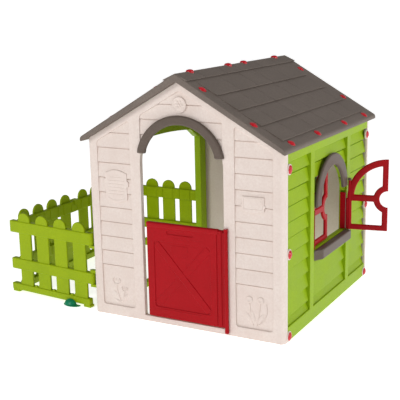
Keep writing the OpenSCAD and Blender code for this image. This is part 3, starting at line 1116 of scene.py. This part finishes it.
@dataclass
class SideWall:
    """Green side wall: plinth, header and posts round clapboards."""

    house: House
    depth: float = 40
    plinth: float = 68
    header: float = 804
    lip: float = 8
    tuck: float = 23
    groove: tuple[float, float, float] = (21, 28, 10.5)
    board_back: float = 33

    @property
    def ends(self) -> Point:
        """The wall's two ends in y."""
        low, high = span("right_wall")
        return low.y, high.y

    def frame(self) -> Shape:
        """Plinth and header.

        Returns:
            The frame.
        """
        h = self.house
        a, b = self.ends
        made = block((h.half - self.depth, a, 0), (h.half, b, self.plinth), 4)
        return made.add(block((h.half - self.depth, a, self.header), (h.half, b, h.eave), 3))

    def clapboards(self, start: float, end: float, low: float, high: float) -> Shape:
        """Boards between two posts, each proud along its lower edge.

        Args:
            start: The y where they start.
            end: The y where they end.
            low: Height of the lowest board's foot.
            high: Height of the highest board's top.

        Returns:
            The closed shape.
        """
        h = self.house
        line: Outline = []
        z = h.board_first - 3 * h.board_pitch
        while z < high:
            if z + h.board_pitch > low:
                if z > low:
                    near, deep, gap = self.groove
                    line[-1] = (h.half - near, z - gap)
                    line += [(h.half - deep, z - gap), (h.half - deep, z)]
                top = min(z + h.board_pitch, high)
                line += [(h.half - self.lip, max(z, low)), (h.half - self.tuck, top)]
            z += h.board_pitch
        line += [(h.half - self.board_back, high), (h.half - self.board_back, low)]
        made = prism(line, Plane.XZ, start, end)
        return made.soften(1.6, 2, lambda e: min(v.co.x for v in e.verts) > h.half - self.lip - 1)


@dataclass
class WindowWall(SideWall):
    """Right wall with the arched window."""

    window: float = 212
    window_low: float = 336
    arch_centre: float = 500
    post_near: float = 221
    post_wide: float = 45

    def opening(self) -> Shape:
        """The window's opening, as a shape to take out of the boards."""
        outline = arched(self.window, self.window_low, self.arch_centre, self.house.middle)
        return prism(outline, Plane.YZ, self.house.half - 60, self.house.half + 20)

    def build(self) -> None:
        """Makes the wall and places it."""
        h = self.house
        a, b = self.ends
        made = self.frame()
        posts = [(h.middle - self.post_near - self.post_wide, h.middle - self.post_near),
                 (h.middle + self.post_near, h.middle + self.post_near + self.post_wide)]
        for low, high in posts:
            top = (h.half + 0.1, high, self.header + 10)
            made.add(block((h.half - self.depth, low, 56), top, 2.5))
        bays = [(a, posts[0][0] + 4), (posts[0][1] - 4, posts[1][0] + 4), (posts[1][1] - 4, b)]
        for i, (start, end) in enumerate(bays):
            boards = self.clapboards(start, end, self.plinth - 2, self.header + 2)
            if i == 1:
                boards.cut(self.opening())
            made.add(boards)
        for y in (a, b - 20):
            made.add(block((h.half - self.depth, y, 2), (h.half - 28, y + 20, h.eave - 2), 2))
        place(made, "right_wall_panel", GREEN, Body.HOUSE, ["right_wall"])
        rounded_copy("window_lug_front", GREEN, Body.HOUSE, 0.8)
        rounded_copy("window_lug_back", TRIM, Body.HOUSE, 1)
        rounded_copy("window_jamb_strips", RED, Body.HOUSE, 1)
        dress(ZINC, "window_pins_front", "window_pins_back")


@dataclass
class YardWall(SideWall):
    """Left wall with the wide opening to the yard."""

    half_open: float = 462
    sill: float = 27
    crown: float = 790

    def opening(self) -> Outline:
        """Flat arch with a stepped shoulder at each side.

        Returns:
            The outline in y and z.
        """
        m, w = self.house.middle, self.half_open
        reach, knee = w - 100, 767
        rise = self.crown - knee
        right = [(w, 711), (w - 30, 721), (w - 63, 743), (reach, knee)]
        lifts = [rise * (1 - (1 - k / 5) ** 2) for k in range(1, 10)]
        bow = [(reach - reach * 2 * k / 10, knee + lift) for k, lift in enumerate(lifts, 1)]
        left = [(-u, v) for u, v in right[::-1]]
        return [(m + u, v) for u, v in [(-w, self.sill), (w, self.sill), *right, *bow, *left]]

    def build(self) -> None:
        """Makes the wall and places it."""
        h = self.house
        a, b = self.ends
        outer = [(a + 1, 1), (b - 1, 1), (b - 1, h.eave - 1), (a + 1, h.eave - 1)]
        made = plate([outer, self.opening()], Plane.YZ, h.half - self.depth, h.half - 5, 3)
        for low, high in ((a, a + 64), (b - 64, b)):
            made.add(block((h.half - 20, low, 0), (h.half, high, h.eave), 4))
        a, b = a + 0.5, b - 0.5
        made.add(block((h.half - 20, a, self.header), (h.half - 1.2, b, h.eave - 0.6), 3))
        made.add(block((h.half - 20, a, 0.5), (h.half - 1.2, b, self.sill - 1), 3))
        made.transform(Matrix.Scale(-1, 4, (1, 0, 0)))
        place(made, "left_wall_panel", GREEN, Body.HOUSE, ["left_wall"])


# ---------- Roof ----------


@dataclass
class Roof:
    """Two roof halves with courses of shingles, and their fasteners' caps."""

    house: House
    thick: float = 34
    courses: tuple[float, ...] = (60, 170, 273, 377, 476)
    step: float = 8
    tiles: tuple[float, ...] = (176, 214, 158, 232, 196, 168, 206)
    shortest_tile: float = 70
    tile_gap: float = 2.4
    verge: float = 11
    margins: Point = (72, 100)
    eave_caps: tuple[float, ...] = (-482, -178, 178, 482)
    ridge_caps: tuple[float, ...] = (-461, -85, 85, 461)
    gable_caps: tuple[float, ...] = (116, 357)

    @property
    def top(self) -> float:
        """Height of the ridge."""
        return self.house.apex + self.thick

    def surface(self, x: float) -> float:
        """Height of the roof's plain surface at x."""
        return self.top - self.house.slope * x

    def slab(self, low: Vector, high: Vector) -> Shape:
        """The half's body with rounded verges and eave.

        Args:
            low: Lowest corner of the half.
            high: Its highest corner.

        Returns:
            The closed shape.
        """
        edge = high.x
        under = self.house.under_roof(edge)
        outline = [(0, self.top), (edge, self.surface(edge)), (edge, under), (0, self.house.apex)]
        rounded = [outline[0], *eased(outline, 12, 5)[6:18], outline[3]]
        made = prism(rounded, Plane.XZ, low.y, high.y)

        def verge(e: bmesh.types.BMEdge) -> bool:
            """Tells whether an edge runs along a verge."""
            ends = [v.co for v in e.verts]
            return abs(ends[0].y - ends[1].y) < 0.1 and max(c.x for c in ends) > 1

        return made.soften(self.verge, 5, verge)

    def course(self, i: int, y0: float, y1: float) -> Shape:
        """One course of shingles, thicker towards its lower edge.

        Args:
            i: Number of the course, from the ridge down.
            y0: Where it starts.
            y1: Where it ends.

        Returns:
            The shingles.
        """
        x0 = self.courses[i - 1] - 4 if i else 0
        x1 = self.courses[i]
        lip = self.surface(x1 - 6) + 3.4
        high, low = self.surface(x0), self.surface(x1)
        outline = [
            (x0, high + (0.3 if i else 0)), (x1, low + self.step), (x1 + 0.4, low + 4.2),
            (x1 - 6, lip), (x1 - 6, lip - 12), (x0, high - 8),
        ]
        made, y = Shape(), y0
        k = i * 3
        while y < y1 - 1:
            end = min(y1, y + self.tiles[k % len(self.tiles)])
            if y1 - end < self.shortest_tile:
                end = y1
            tile = prism(outline, Plane.XZ, y, end - (self.tile_gap if end < y1 else 0))
            tile.soften(1.6, 2, lambda e: min(v.co.x for v in e.verts) > x1 - 1)
            made.add(tile)
            y, k = end, k + 1
        return made

    def half(self) -> Shape:
        """The right half of the roof.

        Returns:
            The half with its courses.
        """
        low, high = span("roof_right")
        made = self.slab(low, high)
        for i in range(len(self.courses)):
            front, back = self.margins if i else (3, 3)
            ends = (low.y + front, high.y - back)
            made.add(self.course(i, *ends))
        return made

    @staticmethod
    def cap() -> Shape:
        """Round push-on cap: a flange under a dome with a dimpled top.

        Returns:
            The cap, standing on its Z axis.
        """
        profile = [(0, 6.9), (3, 7.0), (4.6, 7.9), (7, 7.7), (11, 6.6), (14, 4.9), (15.6, 3.4),
                   (16.4, 2.9), (18.4, 2.5), (19, 1.7), (19, 0.3), (18.4, 0), (0, 0)]
        return lathe(profile, 32)

    def top_caps(self) -> Shape:
        """Taller caps that sit astride the ridge.

        Returns:
            The caps in their places.
        """
        profile = [(0, 7.2), (4, 7.4), (6, 8), (10, 7.2), (14, 5.4), (17, 2.6), (18.6, -1),
                   (19, -5), (19, -12), (0, -12)]
        made = Shape()
        for dy in self.ridge_caps:
            made.add(lathe(profile, 32).move(0, self.house.middle + dy, self.top))
        return made

    def wall_caps(self) -> Shape:
        """Caps on the corner posts of both side walls.

        Returns:
            The caps in their places.
        """
        h, made = self.house, Shape()
        for side in (1, -1):
            for y, z in h.cap_places():
                made.add(self.cap().transform(facing((side, 0, 0), (side * (h.half + 4), y, z))))
        return made

    def slope_caps(self) -> Shape:
        """Caps on the right slope.

        Returns:
            The caps in their places.
        """
        h = self.house
        places = [(x, y) for x in self.gable_caps for y in (h.front + 6, h.back - 16)]
        places += [(h.half - 5, h.middle + dy) for dy in self.eave_caps]
        normal = Vector((h.slope, 0, 1)).normalized()
        made = Shape()
        for x, y in places:
            made.add(self.cap().transform(facing(normal, (x, y, self.surface(x)))))
        return made

    def build(self) -> None:
        """Makes the roof and places it."""
        flip = Matrix.Scale(-1, 4, (1, 0, 0))
        pieces = [
            (self.half(), "roof_half_right", ROOF, "roof_right"),
            (self.half().transform(flip), "roof_half_left", ROOF, "roof_left"),
            (self.slope_caps(), "caps_right_slope", CAP, "roof_caps_right"),
            (self.slope_caps().transform(flip), "caps_left_slope", CAP, "roof_caps_left"),
            (self.top_caps(), "caps_ridge", CAP, "ridge_caps"),
            (self.wall_caps(), "caps_walls", CAP, "wall_caps"),
        ]
        for shape, name, finish, stands_for in pieces:
            place(shape, name, finish, Body.HOUSE, [stands_for])
        dress(ROOF, "ridge_ties")
        dress(ZINC, "wall_screws", "roof_screws")


# ---------- Hoods and sill ----------


@dataclass
class Trims:
    """Taupe hoods over the doorway and the window, and the window's sill."""

    house: House
    door_arch: Point = (757, 185)
    door_lip: Point = (201, 211.5)
    window_arch: tuple[float, float, float] = (548, 151, 210)

    @staticmethod
    def band(u: float, v: float, inner: float, outer: float, ends: Point, lows: Point) -> Outline:
        """Outline of an arched band that ends on level cuts.

        Args:
            u: First coordinate of the arch's centre.
            v: Height of its centre.
            inner: Inner radius.
            outer: Outer radius.
            ends: Heights above the centre where the right and the left end start.
            lows: How far the legs run straight down from there.

        Returns:
            The outline.
        """
        def angle(radius: float, height: float) -> float:
            """Angle at which a circle reaches a height."""
            return math.degrees(math.asin(height / radius))

        out = arc(u, v, outer, angle(outer, ends[0]), 180 - angle(outer, ends[1]), 56)
        back = arc(u, v, inner, 180 - angle(inner, ends[1]), angle(inner, ends[0]), 56)

        def leg(first: Point, second: Point, drop: float) -> Outline:
            """Rounded end of a leg, from one rim of the band to the other."""
            corners = [first, (first[0], first[1] - drop), (second[0], second[1] - drop), second]
            return eased(corners, 12)[5:15]

        left, right = leg(out[-1], back[0], lows[1]), leg(back[-1], out[0], lows[0])
        return [*out[:-1], *left, *back[1:-1], *right]

    def build(self) -> None:
        """Makes the trims and places them."""
        h = self.house
        low, high = span("door_hood")
        centre, inner = self.door_arch
        end = low.z - centre + 12
        band = self.band(0, centre, inner, high.x, (end, end), (12, 12))
        made = plate([band], Plane.XZ, low.y, h.front + 4.9, 9.5)
        lip = self.band(0, centre, *self.door_lip, (60, 60), (2, 2))
        made.add(prism(lip, Plane.XZ, low.y + 9, high.y, 1.5, 2))
        place(made, "doorway_hood", TRIM, Body.HOUSE, ["door_hood"])

        _, high = span("window_hood")
        centre, inner, outer = self.window_arch
        band = self.band(h.middle, centre, inner, outer, (24, 1), (12, 13))
        made = plate([band], Plane.YZ, h.half - 6, high.x, 8)
        place(made, "window_hood_band", TRIM, Body.HOUSE, ["window_hood"])

        low, high = span("window_sill")
        plan = [(low.x - 1, low.y + 54), (high.x, low.y + 98),
                (high.x, high.y - 50), (low.x - 1, high.y - 18)]
        made = prism(plan, Plane.XY, low.z, high.z)
        made.soften(8, 5, lambda e: max(v.co.x for v in e.verts) > high.x - 1)
        place(made, "window_sill_bar", TRIM, Body.HOUSE, ["window_sill"])


# ---------- Half door ----------


@dataclass
class HalfDoor:
    """Red half door with crossed braces, hung on the right."""

    house: House
    right: float = 209
    rim: float = 40

    @staticmethod
    def brace(made: Shape, face: float, x0: float, x1: float, z0: float, z1: float) -> None:
        """Adds the crossed braces in the door's recess.

        Args:
            made: Door that they are added to.
            face: The y of the door's frame.
            x0: Left side of the recess.
            x1: Right side of the recess.
            z0: Its foot.
            z1: Its top.
        """
        centre = ((x0 + x1) / 2, 0, (z0 + z1) / 2)
        tilt = math.atan2(z1 - z0, x1 - x0)
        reach = 0.5 * math.hypot(x1 - x0, z1 - z0) - 14
        for side in (-1, 1):
            turn = Matrix.Translation(centre) @ Matrix.Rotation(side * tilt, 4, "Y")
            front = face - 0.6 + 1.4 * (side < 0)
            bar = block((-reach, front, -17), (reach, face + 5, 17), 2.4, 3)
            made.add(bar.transform(turn))

    def build(self) -> None:
        """Makes the door and places it."""
        h = self.house
        low, high = span("door_leaf")
        axis = pivot("door_hinge")
        a, b, bottom, top = low.x, self.right, low.z + 6, high.z
        face = h.front - 9
        made = block((a, face + 2, bottom), (b, high.y, top - 4), 6, 5)
        made.add(block((a, face - 5, top - 24), (b - 18, high.y - 4, top), 8, 6))
        frame_out = eased(rectangle(a + 3, bottom + 3, b - 30, top - 16), 9)
        x0, x1, z0, z1 = a + self.rim, b - self.rim - 22, bottom + 52, top - 88
        inner = eased(rectangle(x0, z0, x1, z1), 14)
        slot = eased(rectangle(-75, 440, 61, 457), 6)
        made.add(plate([frame_out, inner, slot], Plane.XZ, face - 1, face + 5, 1.8))
        self.brace(made, face, x0, x1, z0, z1)
        hatch = eased(rectangle(-58, top - 150, 32, top - 100), 8)
        made.add(plate([hatch], Plane.XZ, face + 1.1, face + 5, 0.8))
        made.add(rod([(-120, face + 0.6, 75), (96, face + 0.6, 75)], 3))
        made.add(rod([(-112, face - 0.2, 425), (100, face - 0.2, 425)], 1.3))
        for x in (a + 28, b - 40):
            made.add(rod([(x, face - 0.1, bottom + 40), (x, face - 0.1, top - 60)], 1.2))
        made.add(block((b - 25, face - 1.5, bottom + 2), (b - 6, face + 8, top - 6), 4, 4))
        knob = lathe([(0, 2.6), (3, 2.2), (5, 1), (5.6, -2), (0, -2)], 18)
        made.add(knob.transform(facing((0, -1, 0), (a + 36, face, 108))))
        made.add(block((b - 8, face + 3, low.z + 8), (axis.x, face + 9, top - 14), 1.5))
        radius = high.x - axis.x
        neck = radius - 1.5
        side = [(neck, top - 7), (radius, top - 8.5), (radius, low.z + 1.5), (neck, low.z)]
        barrel = lathe([(0, top - 7), *side, (0, low.z)], 28)
        made.add(barrel.move(axis.x, axis.y, 0))
        place(made, "half_door_leaf", RED, Body.DOOR, ["door_leaf"])
        rounded_copy("door_hinge_lugs", RED, Body.HOUSE, 1.2)
        dress(ZINC, "door_hinge_pins")


# ---------- Window leaves ----------


@dataclass
class WindowLeaves:
    """Two red leaves of rounded bars, each a quarter arch with a notched free edge."""

    wide: float = 205
    low: float = 339
    centre: float = 500
    radius: float = 200
    bar: float = 28
    arch_bar: float = 33
    notch: float = 41
    thick: float = 14
    rest_turn: float = 9.9

    def outlines(self) -> list[Outline]:
        """Outer outline and the two openings, from the hinge edge to the free edge.

        Returns:
            The outlines, from the outer one in.
        """
        w, c, ring = self.wide, self.centre, self.notch + 30
        inner = self.radius - self.arch_bar

        def turn(radius: float, rise: float) -> float:
            """Angle on a circle about the notch's centre at a height above it."""
            return math.degrees(math.asin(rise / radius))

        def across(radius: float) -> float:
            """Angle on that circle where it meets the free edge's bar."""
            return math.degrees(math.acos(-self.bar / radius))

        corners = [(w, c - self.notch), (0, c), (0, self.low), (w, self.low), (w, c - self.notch)]
        outer = [*eased(corners, 6)[5:20],
                 *arc(w, c, self.notch, 270, 90, 18), (w, c + self.radius - 1),
                 *arc(w, c, self.radius, 91, 180, 26)]
        lower = [(self.bar, self.low + self.bar), (w - self.bar, self.low + self.bar),
                 *arc(w, c, ring, 360 - across(ring), 180 + turn(ring, 15), 10),
                 (self.bar, c - 15)]
        upper = [*arc(w, c, ring, 180 - turn(ring, 18), across(ring), 10),
                 *arc(w, c, inner, across(inner), 180 - turn(inner, 18), 22)]
        return [outer, eased(lower, 4, 2), eased(upper, 4, 2)]

    def leaf(self, start: float) -> Shape:
        """A leaf in X and Z, with its hinge edge at start."""
        moved = [[(u + start, v) for u, v in outline] for outline in self.outlines()]
        return plate(moved, Plane.XZ, -self.thick / 2, self.thick / 2, 6.4)

    @staticmethod
    def barrel(radius: float, low: float, high: float) -> Shape:
        """Hinge barrel about the Z axis."""
        side = [(radius - 1, high), (radius, high - 1), (radius, low + 1), (radius - 1, low)]
        return lathe([(0, high), *side, (0, low)])

    def build(self) -> None:
        """Makes both leaves and places them."""
        front = self.leaf(0).add(self.barrel(6.4, self.low, 525))
        front.transform(hung("front_leaf_hinge", 90))
        place(front, "window_leaf_shut", RED, Body.FRONT_LEAF, ["window_leaf_front"])
        back = self.leaf(-17).add(self.barrel(8, self.low, 589))
        back.transform(hung("back_leaf_hinge", self.rest_turn))
        place(back, "window_leaf_open", RED, Body.BACK_LEAF, ["window_leaf_back"])


# ---------- Fence ----------


@dataclass
class FencePanel:
    """Picket panel along X from its origin; its rails stand proud on the outer side."""

    name: str
    cad: str
    length: float
    first: float
    pitch: float
    outer: float
    place_at: Matrix
    body: Body = Body.HOUSE
    gate: bool = False
    picket: float = 82
    high: float = 430
    rails: tuple[Point, ...] = ((126, 184), (322, 384))
    half_rail: float = 16

    def pickets(self) -> Shape:
        """Round-headed pickets.

        Returns:
            The pickets and their ribs.
        """
        made, w = Shape(), self.picket / 2
        for i in range(4):
            u = self.first + i * self.pitch
            outline = [(u - w, 14), (u + w, 14), *arc(u, self.high - w, w, 0, 180, 22)]
            y = sorted((self.outer * 11.5, self.outer * -1))
            made.add(prism(outline, Plane.XZ, *y, edge=2.5))
            y = sorted((0, -self.outer * self.half_rail))
            for z0, z1 in self.rails:
                for side in (-1, 1):
                    rib = u + side * (w - 6)
                    made.add(block((rib - 4, y[0], z0 + 1.5), (rib + 4, y[1], z1 - 1.5), 1.5, 2))
        for i in range(3):
            u = self.first + (i + 0.5) * self.pitch
            nub = [(u - 9, 42), (u + 9, 42), *arc(u, 46, 9, 0, 180, 12)]
            made.add(prism(nub, Plane.XZ, *sorted((self.outer * 13, self.outer * 3)), edge=1.5))
        return made

    def bars(self) -> Shape:
        """Two rails and the foot bar with its gussets and feet.

        Returns:
            The rails, the foot bar and the feet.
        """
        made = Shape()
        end = self.length - (15 if self.gate else 0)
        y = sorted((self.outer * self.half_rail, -self.outer * (self.half_rail - 2.5)))
        for z0, z1 in self.rails:
            made.add(block((8 if self.gate else 0, y[0], z0), (end, y[1], z1), 5, 4))
            if self.gate:
                side = [(13, z1), (16, z1 - 3), (16, z0 + 3), (13, z0)]
                made.add(lathe([(0, z1), *side, (0, z0)], 32).move(end, 0, 0))
        foot_end = self.length - (30 if self.gate else 0)
        made.add(block((0, y[0], 12), (foot_end, y[1], 46), 4, 3))
        for i in range(4):
            u = self.first + i * self.pitch - self.picket / 2
            made.add(prism([(u - 15, 44), (u + 3, 44), (u + 3, 66)], Plane.XZ, -9, 9, 1.5, 2))
        for x in (4, self.length - 70):
            made.add(block((x, -self.half_rail, 1), (x + 44, self.half_rail, 14), 2.5))
        return made

    def build(self) -> None:
        """Makes the panel and places it."""
        made = self.pickets().add(self.bars())
        place(made.transform(self.place_at), self.name, FENCE, self.body, [self.cad])


@dataclass
class Yard:
    """Fence round the yard: gate, two side panels, rear panel and their fittings."""

    skew: float = -5.4
    gate_reach: float = 547
    foot_at: tuple[float, float, float] = (-136, -16, 1)

    def panels(self) -> list[FencePanel]:
        """The four panels in their places.

        Returns:
            The panels, ready to build.
        """
        gate_at = hung("gate_hinge", self.skew) @ Matrix.Translation((-self.gate_reach, 0, 0))
        quarter = Matrix.Rotation(math.pi / 2, 4, "Z")
        low, high = span("fence_side_front")
        x = (low.x + high.x) / 2
        front_at = Matrix.Translation((x, low.y, 0)) @ quarter
        back_low, back_high = span("fence_side_back")
        back_at = Matrix.Translation((x, back_low.y, 0)) @ quarter
        rear_low, rear_high = span("fence_rear")
        rear_at = Matrix.Translation((rear_low.x, (rear_low.y + rear_high.y) / 2, 0))
        lengths = (high.y - low.y, back_high.y - back_low.y, rear_high.x - rear_low.x)
        return [
            FencePanel(
                "yard_gate", "fence_gate", 562, first=107, pitch=123, outer=-1,
                place_at=gate_at, body=Body.GATE, gate=True,
            ),
            FencePanel(
                "fence_side_front_panel", "fence_side_front", lengths[0], first=46, pitch=118,
                outer=1, place_at=front_at,
            ),
            FencePanel(
                "fence_side_back_panel", "fence_side_back", lengths[1], first=82, pitch=118,
                outer=1, place_at=back_at,
            ),
            FencePanel(
                "fence_rear_panel", "fence_rear", lengths[2], first=76, pitch=114.5,
                outer=1, place_at=rear_at,
            ),
        ]

    def foot(self) -> Shape:
        """Teal half dome under the gate's outer face, with a broad hem.

        Returns:
            The foot under the gate.
        """
        dome = [(0, 28), (10, 27), (19, 22.5), (25, 15.5), (28.5, 8), (30, 3), (30, 0), (0, 0)]
        hem = [(0, 4), (30, 3.6), (33, 2.6), (33, 0.6), (32, 0), (0, 0)]
        made = lathe(dome, 48)
        flat = lathe(hem, 48).transform(Matrix.Diagonal((1.3, 1, 1, 1))).move(10, 0, 0)
        made.add(flat).transform(Matrix.Diagonal((1.2, 1, 1, 1)))
        made.move(0, -4, 0).trimmed((0, 0, 0), (0, 1, 0))
        return made.transform(hung("gate_hinge", self.skew) @ Matrix.Translation(self.foot_at))

    def build(self) -> None:
        """Makes the fence and places it."""
        for panel in self.panels():
            panel.build()
        place(self.foot(), "gate_glide_foot", TEAL, Body.GATE, ["gate_foot"])
        for name in ("gate_hinge_brackets", "fence_joint_clips", "fence_corner_clips"):
            rounded_copy(name, FENCE, Body.HOUSE, 1.2)
        rounded_copy("fence_wall_brackets", GREEN, Body.HOUSE, 1.2)
        dress(ZINC, "gate_hinge_pins", "fence_bracket_screws")


# ---------- Studio ----------


@dataclass
class Studio:
    """Pale floor, soft light and the camera."""

    eye: tuple[float, float, float] = (1.9019, -3.3008, 1.4841)
    yaw: float = -28.77
    pitch: float = -13.06
    roll: float = -1.2
    lens: float = 78.52
    sky: float = 0.3
    glow: float = 0.72
    lamp_size: float = 1.8
    lamps: tuple[tuple[str, tuple[float, float, float], float], ...] = (
        ("key", (-1.6, -6.2, 4.4), 170),
        ("side", (6.2, 0.9, 3.0), 140),
    )

    def floor(self) -> None:
        """Lays the floor just under the object, curving up far away all round."""
        curve = [math.pi / 16 * k for k in range(9)]
        rise = [(38 + 2 * math.sin(a), 2 - 2 * math.cos(a)) for a in curve]
        made = lathe([(40, 3.2), *rise[::-1], (0, 0)], 64)
        bmesh.ops.reverse_faces(made.bm, faces=made.bm.faces)
        mesh = bpy.data.meshes.new("floor")
        made.bm.to_mesh(mesh)
        made.bm.free()
        floor = bpy.data.objects.new("floor", mesh)
        bpy.context.scene.collection.objects.link(floor)
        floor.location.z = -0.0006
        paper = bpy.data.materials.new("studio_paper")
        paper.use_nodes = True
        tree = paper.node_tree
        tree.nodes.clear()
        shader = node(
            tree, "ShaderNodeBsdfPrincipled",
            {"Base Color": (0.9, 0.9, 0.9, 1), "Roughness": 0.9, "Emission Color": (1, 1, 1, 1),
             "Emission Strength": self.glow},
        )
        node(tree, "ShaderNodeOutputMaterial", {"Surface": shader.outputs["BSDF"]})
        mesh.materials.append(paper)

    def lamp(self, name: str, at: Sequence[float], watts: float) -> None:
        """Hangs a soft square lamp that faces the house.

        Args:
            name: Name of the lamp.
            at: Its place in metres.
            watts: Its power.
        """
        data = bpy.data.lights.new(name, "AREA")
        data.size = self.lamp_size
        data.energy = watts
        lamp = bpy.data.objects.new(name, data)
        lamp.location = at
        towards = Vector((0, 0.5, 0.5)) - Vector(at)
        lamp.rotation_euler = towards.to_track_quat("-Z", "Y").to_euler()
        bpy.context.scene.collection.objects.link(lamp)

    def camera(self) -> None:
        """Sets the camera."""
        yaw, pitch, roll = (math.radians(a) for a in (self.yaw, self.pitch, self.roll))
        level = math.cos(pitch)
        forward = Vector((math.sin(yaw) * level, math.cos(yaw) * level, math.sin(pitch)))
        right = forward.cross(Vector((0, 0, 1))).normalized()
        up = right.cross(forward)
        turned = right * math.cos(roll) + up * math.sin(roll)
        above = up * math.cos(roll) - right * math.sin(roll)
        data = bpy.data.cameras.new("camera")
        data.lens = self.lens
        data.sensor_width = 36
        data.clip_end = 2000
        camera = bpy.data.objects.new("camera", data)
        aim = Matrix((turned, above, -forward)).transposed().to_4x4()
        camera.matrix_world = Matrix.Translation(self.eye) @ aim
        bpy.context.scene.collection.objects.link(camera)
        bpy.context.scene.camera = camera

    def build(self) -> None:
        """Sets up the studio."""
        self.floor()
        world = bpy.data.worlds.new("studio")
        world.use_nodes = True
        background = world.node_tree.nodes["Background"]
        background.inputs["Color"].default_value = (1, 1, 1, 1)
        background.inputs["Strength"].default_value = self.sky
        scene = bpy.context.scene
        scene.world = world
        scene.view_settings.view_transform = "Standard"
        for name, at, watts in self.lamps:
            self.lamp(name, at, watts)
        self.camera()


def main() -> None:
    """Builds the playhouse piece by piece, then the studio."""
    logging.basicConfig(level=logging.INFO, format="%(name)s %(message)s")
    house = House()
    parts = [
        GableWall(house, True), GableWall(house, False), WindowWall(house), YardWall(house),
        Roof(house), Trims(house), HalfDoor(house), WindowLeaves(), Yard(), Studio(),
    ]
    for part in parts:
        part.build()


if __name__ == "__main__":
    main()
